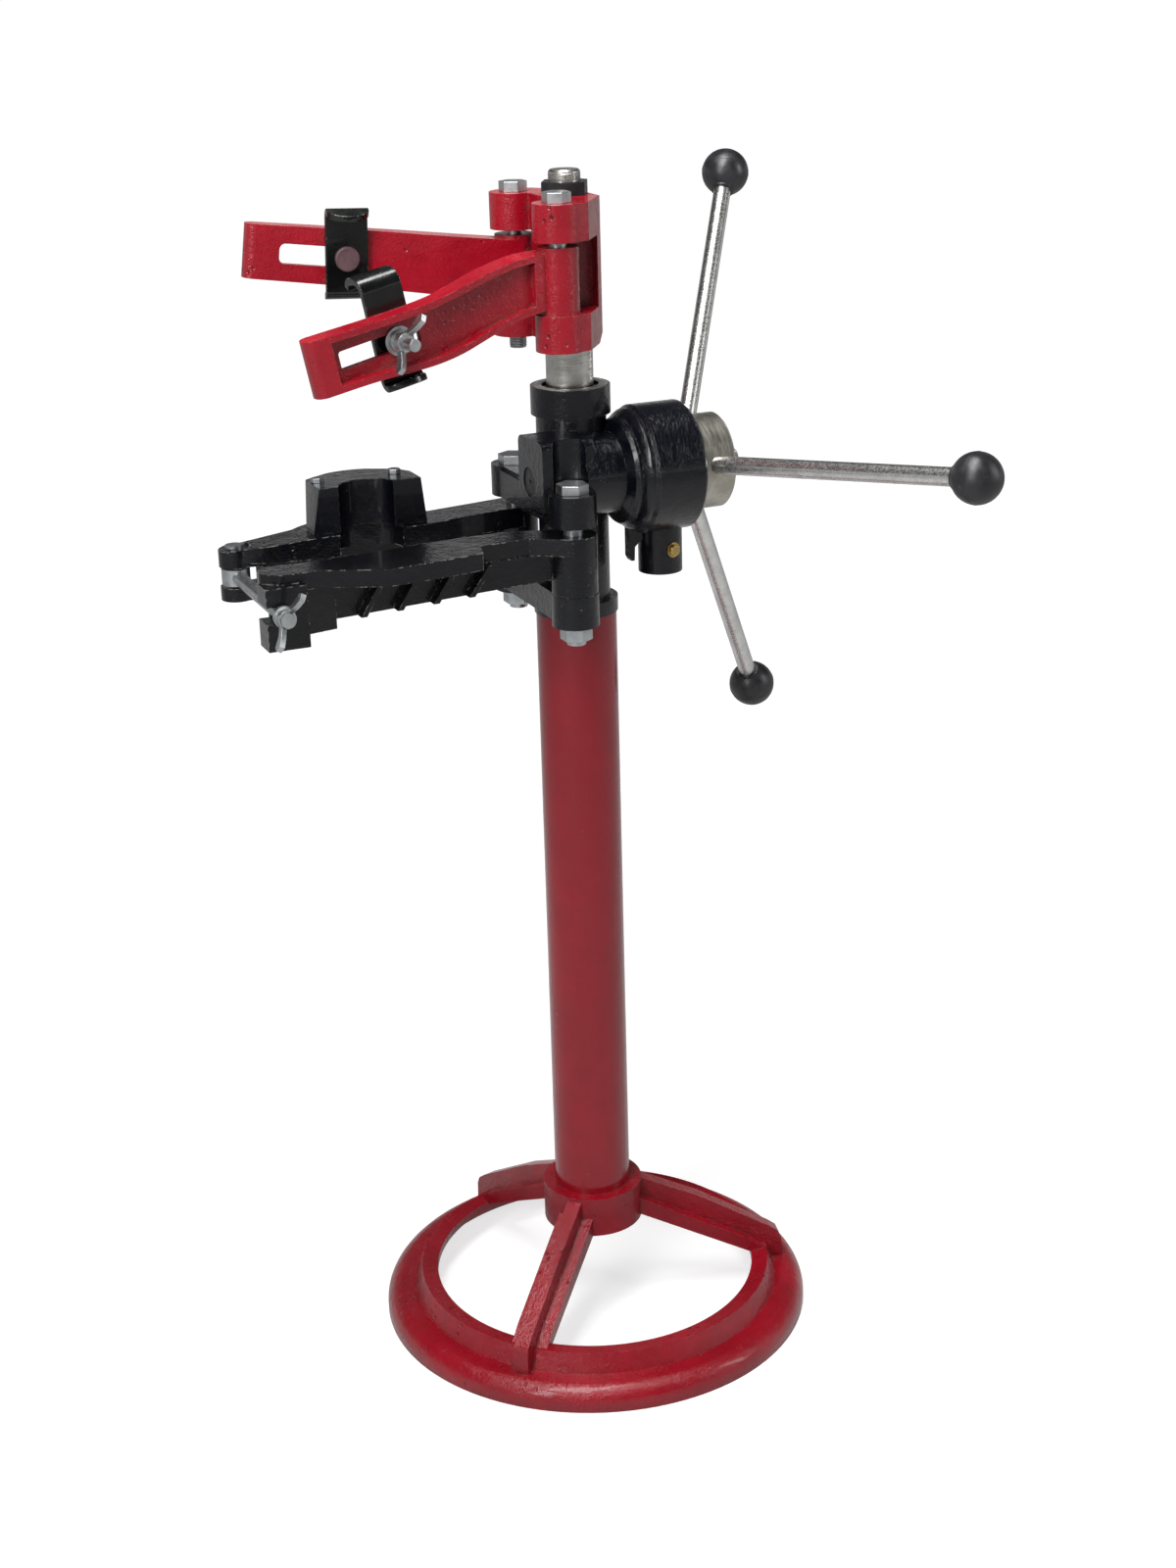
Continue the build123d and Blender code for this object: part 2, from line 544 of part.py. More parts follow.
# an odd-toothed planet with a tooth outwards has a space towards the sun's tooth
planet_r = GEAR_MODULE * PLANET_TEETH / 2
for number in range(PLANET_COUNT):
    around = TOOTH_UP + 2 * math.pi * number / PLANET_COUNT
    with BuildPart() as planet_gear:
        planet_plane = rearward(GEAR_Y + 0.1, GEAR_X - PLANET_RADIAL * math.cos(around),
                                GEAR_Z + PLANET_RADIAL * math.sin(around))
        block(planet_plane, gear_outline(GEAR_MODULE, PLANET_TEETH, planet_r + GEAR_MODULE,
                                         planet_r - 1.25 * GEAR_MODULE, around), GEAR_W - 0.2)
        disc(planet_plane, PLANET_PIN_R + RUN, GEAR_W, Mode.SUBTRACT)
    finish(planet_gear.part, f"planet_gear_{number + 1}")

SUN_R = GEAR_MODULE * SUN_TEETH / 2
key_plane = Plane(origin=(GEAR_X, 0, GEAR_Z + SHAFT_R - KEY_H / 2), x_dir=(1, 0, 0), z_dir=(0, 0, 1))
DRUM_KEY = [(-KEY_W / 2, DRUM_Y + 0.5), (KEY_W / 2, DRUM_Y + 0.5),
            (KEY_W / 2, DRUM_Y + DRUM_W - 0.5), (-KEY_W / 2, DRUM_Y + DRUM_W - 0.5)]
HUB_KEY = [(-KEY_W / 2, WHEEL_HUB_Y + 3), (KEY_W / 2, WHEEL_HUB_Y + 3),
           (KEY_W / 2, HUB_END - 3), (-KEY_W / 2, HUB_END - 3)]
with BuildPart() as sun_shaft:
    disc(gear_plane(CARRIER_END - PILOT_IN + 1), PILOT_R - RUN, PILOT_IN + 2)
    block(gear_plane(GEAR_Y + 0.1), gear_outline(GEAR_MODULE, SUN_TEETH, SUN_R + GEAR_MODULE,
                                                 SUN_R - 1.25 * GEAR_MODULE, TOOTH_UP), GEAR_W - 0.2)
    disc(gear_plane(GEAR_Y + 0.1), SHAFT_R, HUB_END - GEAR_Y - 0.1)
    disc(gear_plane(HUB_END), STUD_R, STUD_END_Y - HUB_END)
    chamfer(sun_shaft.edges().filter_by(GeomType.CIRCLE).sort_by(Axis.Y)[-1], 1.2)
    block(key_plane, DRUM_KEY, 2 * KEY_H, Mode.SUBTRACT)
    block(key_plane, HUB_KEY, 2 * KEY_H, Mode.SUBTRACT)
finish(sun_shaft.part, "sun_shaft")

with BuildPart() as drive_keys:
    block(key_plane, DRUM_KEY, KEY_H)
    block(key_plane, HUB_KEY, KEY_H)
finish(drive_keys.part, "drive_keys")

with BuildPart() as brake_drum:
    disc(gear_plane(DRUM_Y), DRUM_R, DRUM_W)
    disc(gear_plane(DRUM_Y), SHAFT_R + FIT, DRUM_W, Mode.SUBTRACT)
    block(key_plane, [(-KEY_W / 2, 0), (KEY_W / 2, 0), (KEY_W / 2, 80), (-KEY_W / 2, 80)], KEY_H + 0.1, Mode.SUBTRACT)
    with BuildSketch(gear_plane(DRUM_Y)):
        with PolarLocations(27, 6, start_angle=0):
            Circle(6)
    extrude(amount=DRUM_W, mode=Mode.SUBTRACT)
finish(brake_drum.part, "brake_drum")

# ================================================================ handwheel
rod_tilt = math.atan2(KNOB_Y - ROD_ROOT_Y, KNOB_RADIAL - ROD_ROOT_RADIAL)


def rod_plane(number, radial):
    """Plane across a handle rod's axis at a radius, facing outwards."""
    around = math.radians(WHEEL_TURN + 360 / HANDLE_COUNT * number)
    out = (math.cos(around), 0, math.sin(around))
    along = (radial - ROD_ROOT_RADIAL) * math.tan(rod_tilt) + ROD_ROOT_Y
    origin = (GEAR_X + radial * out[0], along, GEAR_Z + radial * out[2])
    normal = (math.cos(rod_tilt) * out[0], math.sin(rod_tilt), math.cos(rod_tilt) * out[2])
    return Plane(origin=origin, x_dir=(-out[2], 0, out[0]), z_dir=normal)


ROD_BURIED = 4.0      # a rod ends this far past its knob's centre
rod_length = (KNOB_RADIAL - ROD_INNER_RADIAL) / math.cos(rod_tilt) + ROD_BURIED
with BuildPart() as handwheel_hub:
    disc(gear_plane(WHEEL_HUB_Y), WHEEL_HUB_R, WHEEL_HUB_W)
    chamfer(handwheel_hub.edges().filter_by(GeomType.CIRCLE), 1.5)
    disc(gear_plane(COVER_Y + COVER_W + SEAT), SHAFT_R + 5, WHEEL_HUB_Y - COVER_Y - COVER_W)
    disc(gear_plane(COVER_Y), SHAFT_R + FIT, 80, Mode.SUBTRACT)
    block(key_plane, [(-KEY_W / 2, WHEEL_HUB_Y + 3), (KEY_W / 2, WHEEL_HUB_Y + 3),
                      (KEY_W / 2, HUB_END + 1), (-KEY_W / 2, HUB_END + 1)], KEY_H + 0.1, Mode.SUBTRACT)
    for number in range(HANDLE_COUNT):
        disc(rod_plane(number, ROD_INNER_RADIAL), ROD_R + FIT, 60, Mode.SUBTRACT)
finish(handwheel_hub.part, "handwheel_hub")

with BuildPart() as handle_rods:
    for number in range(HANDLE_COUNT):
        disc(rod_plane(number, ROD_INNER_RADIAL), ROD_R, rod_length)
finish(handle_rods.part, "handle_rods")

with BuildPart() as ball_knobs:
    for number in range(HANDLE_COUNT):
        ball_plane = rod_plane(number, KNOB_RADIAL)
        axis_plane = Plane(origin=ball_plane.origin, x_dir=ball_plane.x_dir,
                           z_dir=ball_plane.x_dir.cross(ball_plane.z_dir))
        with BuildSketch(axis_plane) as half_ball:
            with BuildLine():
                hole_x = ROD_R + FIT
                mouth_y = math.sqrt(KNOB_R ** 2 - (ROD_R + 2.5) ** 2)
                way = 1 if axis_plane.y_dir.dot(ball_plane.z_dir) > 0 else -1
                Polyline((0, way * KNOB_R), (0, way * (ROD_BURIED + 0.1)), (hole_x, way * (ROD_BURIED + 0.1)),
                         (hole_x, way * (-mouth_y - 1.5)), (ROD_R + 2.5, way * (-mouth_y - 1.5)),
                         (ROD_R + 2.5, way * -mouth_y))
                ThreePointArc((ROD_R + 2.5, way * -mouth_y), (KNOB_R, 0), (0, way * KNOB_R))
            make_face()
        revolve(half_ball.sketch, axis=Axis(ball_plane.origin, ball_plane.z_dir))
finish(ball_knobs.part, "ball_knobs")

with BuildPart() as hub_washer:
    disc(gear_plane(HUB_END), HUB_WASHER_R, HUB_WASHER_H)
    disc(gear_plane(HUB_END), STUD_R + FIT, HUB_WASHER_H, Mode.SUBTRACT)
finish(hub_washer.part, "hub_washer")
with BuildPart() as hub_nut:
    hexagon(gear_plane(HUB_END + HUB_WASHER_H), HUB_NUT_AF, HUB_NUT_H)
    disc(gear_plane(HUB_END), STUD_R + FIT, 40, Mode.SUBTRACT)
finish(hub_nut.part, "hub_nut")

# ================================================================ lift bar
RACK_PITCH = math.pi * RACK_MODULE
RACK_TOP_SPACES = 5   # tooth spaces above the gear axis
with BuildPart() as rack_bar:
    disc(level(BAR_BOTTOM), BAR_R, BRACKET_BOTTOM - BAR_BOTTOM)
    disc(level(BRACKET_BOTTOM), BAR_SPIGOT_R, BRACKET_TOP - BRACKET_BOTTOM)
    disc(level(BRACKET_TOP), BAR_THREAD_R, BAR_TOP - BRACKET_TOP)
    chamfer(rack_bar.edges().filter_by(GeomType.CIRCLE).sort_by(Axis.Z)[-1], 1.5)
    slope = math.tan(PRESSURE)
    pitch_half = RACK_PITCH / 4 + BACKLASH / 4
    root_x = RACK_PITCH_X - 1.25 * RACK_MODULE
    root_half = pitch_half - 1.25 * RACK_MODULE * slope
    mouth_half = pitch_half + (BAR_R + 1 - RACK_PITCH_X) * slope
    tooth_row = Plane(origin=(0, 0, GEAR_Z), x_dir=(1, 0, 0), z_dir=(0, -1, 0))
    rack_high = (RACK_TOP_SPACES + 0.5) * RACK_PITCH
    rack_low = (RACK_TOP_SPACES + 0.5 - RACK_TEETH) * RACK_PITCH
    block(tooth_row, [(RACK_PITCH_X + RACK_ADDENDUM, rack_low), (BAR_R + 2, rack_low), (BAR_R + 2, rack_high),
                      (RACK_PITCH_X + RACK_ADDENDUM, rack_high)], BAR_R, Mode.SUBTRACT, both=True)
    with BuildSketch(tooth_row) as spaces:
        for number in range(RACK_TEETH):
            middle = (RACK_TOP_SPACES - number) * RACK_PITCH
            Polygon((root_x, middle - root_half), (BAR_R + 1, middle - mouth_half),
                    (BAR_R + 1, middle + mouth_half), (root_x, middle + root_half), align=None)
    extrude(spaces.sketch, amount=BAR_R, both=True, mode=Mode.SUBTRACT)
    disc(level(BAR_BOTTOM), 5 + FIT, 24, Mode.SUBTRACT)
finish(rack_bar.part, "rack_bar")

with BuildPart() as stop_washer:
    disc(level(BAR_BOTTOM), COLUMN_R - COLUMN_WALL - 1.5, -6)
    disc(level(BAR_BOTTOM), 5 + FIT, -6, Mode.SUBTRACT)
finish(stop_washer.part, "stop_washer")
with BuildPart() as stop_bolt:
    bolt(Plane(origin=(0, 0, BAR_BOTTOM - 6), x_dir=(1, 0, 0), z_dir=(0, 0, -1)), 5, 26, 17, 6.4)
finish(stop_bolt.part, "stop_bolt")

with BuildPart() as top_nut:
    hexagon(level(BRACKET_TOP), TOP_NUT_AF, TOP_NUT_H, turned=30)
    disc(level(BRACKET_TOP), BAR_THREAD_R + FIT, TOP_NUT_H, Mode.SUBTRACT)
finish(top_nut.part, "top_nut")

LUG_SEAT = SEAT       # barrel to lug, where an arm rests
with BuildPart() as upper_bracket:
    half_plan = [(24, BRACKET_REAR_Y), (60, -5), (UPPER_PIVOT_X + UPPER_LUG_R, UPPER_PIVOT_Y),
                 (UPPER_PIVOT_X, UPPER_PIVOT_Y - 4), (26, -21)]
    block(level(BRACKET_BOTTOM), half_plan + [(-x, y) for x, y in reversed(half_plan)],
          BRACKET_TOP - BRACKET_BOTTOM)
    fillet(upper_bracket.edges().filter_by(Axis.Z).sort_by(Axis.Y)[-2:], 4)
    for side in (-1, 1):
        disc(level(BRACKET_BOTTOM, side * UPPER_PIVOT_X, UPPER_PIVOT_Y), UPPER_LUG_R, BRACKET_TOP - BRACKET_BOTTOM)
    for side in (-1, 1):
        block(level(UPPER_BARREL_BOTTOM - LUG_SEAT), [(side * CORE_HALF, BRACKET_REAR_Y - BRACKET_WALL),
              (side * 90, BRACKET_REAR_Y - BRACKET_WALL), (side * 90, -90), (side * CORE_HALF, -90)],
              POCKET_TOP - UPPER_BARREL_BOTTOM + LUG_SEAT, Mode.SUBTRACT)
    block(side_on(0), [(BRACKET_REAR_Y + 1, BRACKET_BOTTOM - 1), (BRACKET_REAR_Y + 1, BRACKET_BOTTOM + 9),
                       (BRACKET_REAR_Y - 8, BRACKET_BOTTOM - 1)], 80, Mode.SUBTRACT, both=True)
    disc(level(BRACKET_BOTTOM), BAR_SPIGOT_R + FIT, 200, Mode.SUBTRACT)
    for side in (-1, 1):
        disc(level(BRACKET_BOTTOM, side * UPPER_PIVOT_X, UPPER_PIVOT_Y), PIVOT_BOLT_R + RUN, 200, Mode.SUBTRACT)
finish(upper_bracket.part, "upper_bracket")

with BuildPart() as upper_pivot_bolts:
    for side, bolt_end in ((-1, FAR_BOLT_END), (1, NEAR_BOLT_END)):
        bolt(level(BRACKET_TOP, side * UPPER_PIVOT_X, UPPER_PIVOT_Y), PIVOT_BOLT_R,
             BRACKET_TOP - BRACKET_BOTTOM + bolt_end, PIVOT_BOLT_AF, PIVOT_HEAD_H)
finish(upper_pivot_bolts.part, "upper_pivot_bolts")

with BuildPart() as lower_pivot_bolts:
    for pivot_x in (NEAR_PIVOT_X, FAR_PIVOT_X):
        bolt(level(LUG_TOP, pivot_x, LOWER_PIVOT_Y), LOW_BOLT_R,
             LUG_TOP - LOW_LUG_BOTTOM + LOW_NUT_H + LOW_BOLT_END, LOW_BOLT_AF, LOW_HEAD_H)
finish(lower_pivot_bolts.part, "lower_pivot_bolts")
with BuildPart() as lower_pivot_nuts:
    for pivot_x in (NEAR_PIVOT_X, FAR_PIVOT_X):
        nut_plane = level(LOW_LUG_BOTTOM - LOW_NUT_H, pivot_x, LOWER_PIVOT_Y)
        hexagon(nut_plane, LOW_BOLT_AF, LOW_NUT_H)
        disc(nut_plane, LOW_BOLT_R + FIT, LOW_NUT_H, Mode.SUBTRACT)
finish(lower_pivot_nuts.part, "lower_pivot_nuts")

# ================================================================ upper arms, made on the +X side
splay = math.radians(UPPER_SPLAY)
OUT = Vector(math.cos(splay), math.sin(splay), 0)
ALONG = Vector(math.sin(splay), -math.cos(splay), 0)
UPPER_PIVOT = Vector(UPPER_PIVOT_X, UPPER_PIVOT_Y, 0)
NOSE = 20.0           # solid end of the arm past its channel
CHANNEL_START = 26.0
NOSE_ROUND = 9.0
# an arm's plan, across and along it: its inner and its outer side
ARM_INNER = [(-17, 0), (-17, -35), (-13, -78), (WEB_INNER, -116), (WEB_INNER, -250)]
ARM_OUTER = [(14, -250), (14, -125), (13, -95), (9, -50), (6, 0)]


def arm_side_plane(across):
    """Upright plane along the arm: local x is the reach, local y is up."""
    return Plane(origin=UPPER_PIVOT + OUT * across, x_dir=ALONG, z_dir=OUT * -1)


def slot_middle(arm, reach):
    return arm["slot_root"] + arm["slot_rise"] * reach


def slot_plane(arm, across, reach, flatter=0.0):
    """Upright plane on the slot's middle line, facing inwards: local x runs along the slot,
    or as many degrees flatter than the slot as the last argument says."""
    slope = math.atan(arm["slot_rise"]) - math.radians(flatter)
    origin = UPPER_PIVOT + OUT * across + ALONG * reach + Vector(0, 0, slot_middle(arm, reach))
    return Plane(origin=origin, x_dir=ALONG * math.cos(slope) + Vector(0, 0, math.sin(slope)), z_dir=OUT * -1)


def placed(part, side):
    return part if side > 0 else mirror(part, about=Plane.YZ)


def arm_curve(points):
    """Edge of an arm: straight between two points, and a smooth curve through more."""
    if len(points) == 2:
        Line(*points)
    else:
        Spline(*points)


def arm_side(arm, across, start, end, inset):
    """Side view of an arm, or of its channel, with its end square to the arm's slope."""
    top = [(reach, height - inset) for reach, height in arm["top"]]
    bottom = [(reach, height + inset) for reach, height in arm["bottom"]]
    low, high = 800, 1150
    lean = [end - (z - slot_middle(arm, end)) * arm["slot_rise"] for z in (low, high)]
    with BuildSketch(arm_side_plane(across)) as side:
        with BuildLine():
            arm_curve(bottom)
            Line(bottom[-1], top[-1])
            arm_curve(top)
            Line(top[0], bottom[0])
        make_face()
        Polygon((start, low), (lean[0], low), (lean[1], high), (start, high), align=None, mode=Mode.INTERSECT)
    return side.sketch


def make_upper_arm(arm, side, label):
    plan = Plane(origin=UPPER_PIVOT, x_dir=OUT, z_dir=(0, 0, 1))
    barrel_foot = level(UPPER_BARREL_BOTTOM, UPPER_PIVOT_X, UPPER_PIVOT_Y)
    barrel_head = level(UPPER_BARREL_TOP, UPPER_PIVOT_X, UPPER_PIVOT_Y)
    with BuildPart() as bar:
        block(plan, ARM_INNER + ARM_OUTER, 1200)
        extrude(arm_side(arm, 0, 0, UPPER_REACH, 0), amount=60, both=True, mode=Mode.INTERSECT)
        end_face = bar.faces().sort_by(Axis((0, 0, 0), tuple(ALONG)))[-1]
        fillet(end_face.edges().sort_by(SortBy.LENGTH)[-2:], NOSE_ROUND)
        # channel on the outer face
        extrude(arm_side(arm, WEB_INNER + WEB_T, CHANNEL_START, UPPER_REACH - NOSE, FLANGE_T), amount=-60,
                mode=Mode.SUBTRACT)
        disc(barrel_foot, UPPER_BARREL_R, UPPER_BARREL_TOP - UPPER_BARREL_BOTTOM)
        with BuildSketch(slot_plane(arm, 0, (SLOT_START + SLOT_END) / 2)) as slot:
            RectangleRounded(SLOT_END - SLOT_START, arm["slot_h"], arm["slot_corner"])
        extrude(slot.sketch, amount=30, both=True, mode=Mode.SUBTRACT)
        # barrel ends stay inside the bracket's pocket, and the bolt turns in the barrel
        disc(barrel_head, UPPER_BARREL_R + 4, 30, Mode.SUBTRACT)
        disc(barrel_foot, UPPER_BARREL_R + 4, -30, Mode.SUBTRACT)
        disc(level(900, UPPER_PIVOT_X, UPPER_PIVOT_Y), PIVOT_BOLT_R + RUN, 200, Mode.SUBTRACT)
    finish(placed(bar.part, side), label)


PLATE_OUT = WEB_INNER - SEAT
HALF_T = HOOK_T / 2
# middle line of a hook's bent plate: outwards from the plate's outer face, and up from the bolt;
# its first end is a lip with a rounded outline, its last end has small corner radii
NEAR_HOOK = {"line": [(15.5, -32.3), (-HALF_T, -37.2), (-HALF_T, 50.25), (-24, 50.25), (-29, 42)],
             "bends": [5.75, 9.75, 9.75], "lip": 11.3, "corner": 3.5}
FAR_HOOK = {"line": [(-21.75, 33.6), (-HALF_T, 41.25), (-HALF_T, -31.25), (6.5, -31.25)],
            "bends": [5.6, 5.6], "lip": 12.0, "corner": 3.0}


def make_hook(arm, side, label, hook_line):
    """Bent hook plate on the arm's inner face, held by the bolt in the slot."""
    face = slot_plane(arm, PLATE_OUT, arm["hook_at"], arm["hook_tilt"])
    section = Plane(origin=face.origin, x_dir=OUT, z_dir=face.x_dir)
    line = hook_line["line"]
    with BuildPart() as hook:
        with BuildSketch(section) as profile:
            with BuildLine():
                FilletPolyline(*line, radius=hook_line["bends"])
            trace(line_width=HOOK_T)
        extrude(profile.sketch, amount=HOOK_W / 2, both=True)
        fillet(lip_corners(hook, section, line[-1]), hook_line["corner"])
        round_lip(section, line[0], line[1], hook_line["lip"])
        disc(face, HOOK_BOLT_R + FIT, 30, Mode.SUBTRACT)
    finish(placed(hook.part, side), label)


def round_lip(section, end, bend, reach):
    """Cut a lip's outline to half an ellipse that reaches back from its end towards the bend."""
    run = math.hypot(bend[0] - end[0], bend[1] - end[1])
    step = ((bend[0] - end[0]) / run, (bend[1] - end[1]) / run)
    outwards = section.x_dir * -step[0] + section.y_dir * -step[1]
    origin = section.from_local_coords((end[0] + step[0] * reach, end[1] + step[1] * reach, 0))
    lip_plane = Plane(origin=origin, x_dir=outwards, z_dir=outwards.cross(section.z_dir))
    with BuildSketch(lip_plane) as corners:
        with Locations((reach / 2 + 0.5, 0)):
            Rectangle(reach + 1, HOOK_W + 2)
        Ellipse(reach, HOOK_W / 2, mode=Mode.SUBTRACT)
    extrude(corners.sketch, amount=HOOK_T, both=True, mode=Mode.SUBTRACT)


def lip_corners(hook, section, end):
    """The two short edges at an end of a hook's bent plate."""
    def at_end(edge):
        local = section.to_local_coords(edge.center())
        return math.hypot(local.X - end[0], local.Y - end[1]) < 0.5
    return hook.edges().filter_by(at_end).filter_by(lambda edge: abs(edge.length - HOOK_T) < 0.01)


def make_hook_bolt(arm, side, label):
    face = slot_plane(arm, PLATE_OUT, arm["hook_at"])
    with BuildPart() as stud:
        disc(face.offset(HOOK_T), HOOK_HEAD_R, HOOK_HEAD_H)
        fillet(stud.faces().sort_by(Axis(face.origin, face.z_dir))[-1].edges(), 1.6)
        disc(face.offset(HOOK_T), HOOK_BOLT_R, -(HOOK_T + HOOK_STUD_END - PLATE_OUT))
    finish(placed(stud.part, side), label)


def make_hook_washer(arm, side, label):
    face = slot_plane(arm, WEB_INNER + WEB_T + SEAT + HOOK_WASHER_H, arm["hook_at"])
    with BuildPart() as ring:
        disc(face, HOOK_WASHER_R, HOOK_WASHER_H)
        disc(face, HOOK_BOLT_R + FIT, HOOK_WASHER_H, Mode.SUBTRACT)
    finish(placed(ring.part, side), label)


# side view of one wing: out from the nut's axis and up from its seat
WING_PLAN = [(5.5, 1.5), (9.5, 7), (14, 12), (23.5, 15.5), (25, 21), (20, 23.5), (13.5, 19), (5.5, 10)]


def wing_nut(plane, bore):
    """Wing nut that stands on a plane; its wings lie along the plane's local x."""
    disc(plane, WING_HUB_R, 3)
    disc(plane.offset(3), WING_HUB_R - 1.5, WING_HUB_H - 3)
    for way in (-1, 1):
        wing_face = Plane(origin=plane.origin, x_dir=plane.x_dir * way,
                          z_dir=plane.z_dir.cross(plane.x_dir) * way * -1)
        with BuildSketch(wing_face) as wing:
            Polygon(*WING_PLAN, align=None)
        extrude(wing.sketch, amount=2.2, both=True)
    disc(plane.offset(-1), bore, 40, Mode.SUBTRACT)


def make_hook_nut(arm, side, label, turned):
    seat = slot_plane(arm, WEB_INNER + WEB_T + SEAT + HOOK_WASHER_H, arm["hook_at"])
    turn = math.radians(turned)
    x_dir = seat.x_dir * math.cos(turn) + seat.y_dir * math.sin(turn)
    outward = Plane(origin=seat.origin, x_dir=x_dir, z_dir=OUT)
    with BuildPart() as nut:
        wing_nut(outward, HOOK_BOLT_R + RUN)
    finish(placed(nut.part, side), label)


make_upper_arm(NEAR_ARM, 1, "upper_arm_near")
make_upper_arm(FAR_ARM, -1, "upper_arm_far")
make_hook(NEAR_ARM, 1, "hook_near", NEAR_HOOK)
make_hook(FAR_ARM, -1, "hook_far", FAR_HOOK)
make_hook_bolt(NEAR_ARM, 1, "hook_bolt_near")
make_hook_bolt(FAR_ARM, -1, "hook_bolt_far")
make_hook_washer(NEAR_ARM, 1, "hook_washer_near")
make_hook_washer(FAR_ARM, -1, "hook_washer_far")
make_hook_nut(NEAR_ARM, 1, "hook_wing_nut_near", 130)
make_hook_nut(FAR_ARM, -1, "hook_wing_nut_far", 40)

# ================================================================ lower arms
END_BLOCK_BOTTOM = 717.0
CLAMP_BOTTOM = 710.5
CLAMP_TOP = 762.0
CLAMP_FRONT_Y = -299.5
CLAMP_REAR_Y = -265.0
SLOT_HALF = 7.0       # half the height of the swing bolt's slot
RIB_COUNT = 4
RIB_PITCH = 31.0
NEAR_PLAN = [(NEAR_PIVOT_X + 18, LOWER_PIVOT_Y - 8), (66, -68), (68, -112), (90, -118), (95, -150),
             (100, -202), (76, -252), (76, -285), (64, -298), (52, -297), (45, -288), (47, -248),
             (37, -148), (34, -80), (50, -30)]
FAR_PLAN = [(-78, -38), (-73, -68), (-66, -110), (-82, -125), (-86, -150), (-86, -197.5), (-64, -232.5),
            (-60, -290), (-40, -290), (-28, -262), (-22, -224), (-22, -124), (-33, -80), (-40, -30)]


def web(points, width, low_tip, low_root, high):
    """Upright web under an arm's plate, along a line from the barrel to the tip."""
    (x0, y0), (x1, y1) = points
    run = math.hypot(x1 - x0, y1 - y0)
    way = Vector((x1 - x0) / run, (y1 - y0) / run, 0)
    plane = Plane(origin=(x0, y0, 0), x_dir=way, z_dir=way.cross(Vector(0, 0, 1)))
    block(plane, [(0, low_root), (run, low_tip), (run, high), (0, high)], width / 2, both=True)


def lower_barrel(pivot_x):
    """Round boss of a lower arm, between the housing's two lugs."""
    disc(level(LOWER_BARREL_BOTTOM, pivot_x, LOWER_PIVOT_Y), LOWER_LUG_R - 0.5, LOWER_TOP - LOWER_BARREL_BOTTOM)


def lower_pivot_hole(pivot_x):
    disc(level(600, pivot_x, LOWER_PIVOT_Y), LOW_BOLT_R + RUN, 300, Mode.SUBTRACT)


near_plate = LOWER_TOP - NEAR_PLATE_T
with BuildPart() as lower_arm_near:
    block(level(near_plate), NEAR_PLAN, NEAR_PLATE_T)
    fillet(lower_arm_near.edges().filter_by(Axis.Z).filter_by_position(Axis.Y, -300, -280), 5)
    lower_barrel(NEAR_PIVOT_X)
    web([(NEAR_PIVOT_X - 6, LOWER_PIVOT_Y), (60, -240)], 11, 725, 734, near_plate)
    for number in range(RIB_COUNT):
        rib_plane = Plane(origin=(66, -104 - RIB_PITCH * number, 0), x_dir=(0, -1, 0), z_dir=(-1, 0, 0))
        rib_low = 730.6 - 1.3 * number
        block(rib_plane, [(0, near_plate), (5, near_plate), (23, rib_low), (18, rib_low)], 12, both=True)
    block(level(END_BLOCK_BOTTOM), [(46, -241), (66, -237), (72, -268), (66, -292), (47, -288)],
          near_plate - END_BLOCK_BOTTOM + 5)
    block(level(CLAMP_BOTTOM), [(60, CLAMP_REAR_Y), (CLAMP_FACE_X, CLAMP_REAR_Y), (CLAMP_FACE_X, CLAMP_FRONT_Y),
                                (60, CLAMP_FRONT_Y)], CLAMP_TOP - CLAMP_BOTTOM)
    # slot for the swing bolt, open to the front
    block(side_on(30), [(SWING_Y + 7.5, SWING_Z - SLOT_HALF), (SWING_Y + 7.5, SWING_Z + SLOT_HALF),
                        (-320, SWING_Z + SLOT_HALF), (-320, SWING_Z - SLOT_HALF)], 80, Mode.SUBTRACT)
    lower_pivot_hole(NEAR_PIVOT_X)
finish(lower_arm_near.part, "lower_arm_near")

GROOVE_X = SADDLE_FACE_X + 6
SADDLE_BOLTS = [(-57, SADDLE_MID_Y - 34), (-57, SADDLE_MID_Y + 34)]
far_plate = LOWER_TOP - FAR_PLATE_T
with BuildPart() as lower_arm_far:
    block(level(far_plate), FAR_PLAN, FAR_PLATE_T)
    disc(level(LOWER_LUG_Z, SWING_X, SWING_Y), TIP_LUG_R, LOWER_TOP - LOWER_LUG_Z)
    lower_barrel(FAR_PIVOT_X)
    web([(FAR_PIVOT_X + 6, LOWER_PIVOT_Y), (-58, -236)], 11, LOWER_LUG_Z, 732, far_plate)
    block(level(LOWER_LUG_Z), [(-66, -225), (-44, -225), (-36, -262), (-40, -290), (-60, -290)],
          far_plate - LOWER_LUG_Z + 1)
    # the top falls away towards the tip, with a flat seat for the swing pin's head
    block(side_on(0), [(-225, LOWER_TOP), (-310, LOWER_TOP - 8.2), (-310, LOWER_TOP + 5), (-225, LOWER_TOP + 5)],
          100, Mode.SUBTRACT, both=True)
    disc(level(LUG_FLAT_Z, SWING_X, SWING_Y), TIP_LUG_R, 10, Mode.SUBTRACT)
    disc(level(SWING_Z - SWING_GAP / 2, SWING_X, SWING_Y), 24, SWING_GAP, Mode.SUBTRACT)
    disc(level(700, GROOVE_X, SADDLE_MID_Y), GROOVE_R + 3, 100, Mode.SUBTRACT)
    lower_pivot_hole(FAR_PIVOT_X)
    disc(level(700, SWING_X, SWING_Y), SWING_PIN_R + FIT, 100, Mode.SUBTRACT)
    for x, y in SADDLE_BOLTS:
        disc(level(LOWER_TOP - SADDLE_BOLT_DEEP - 1, x, y), SADDLE_BOLT_R + FIT, 30, Mode.SUBTRACT)
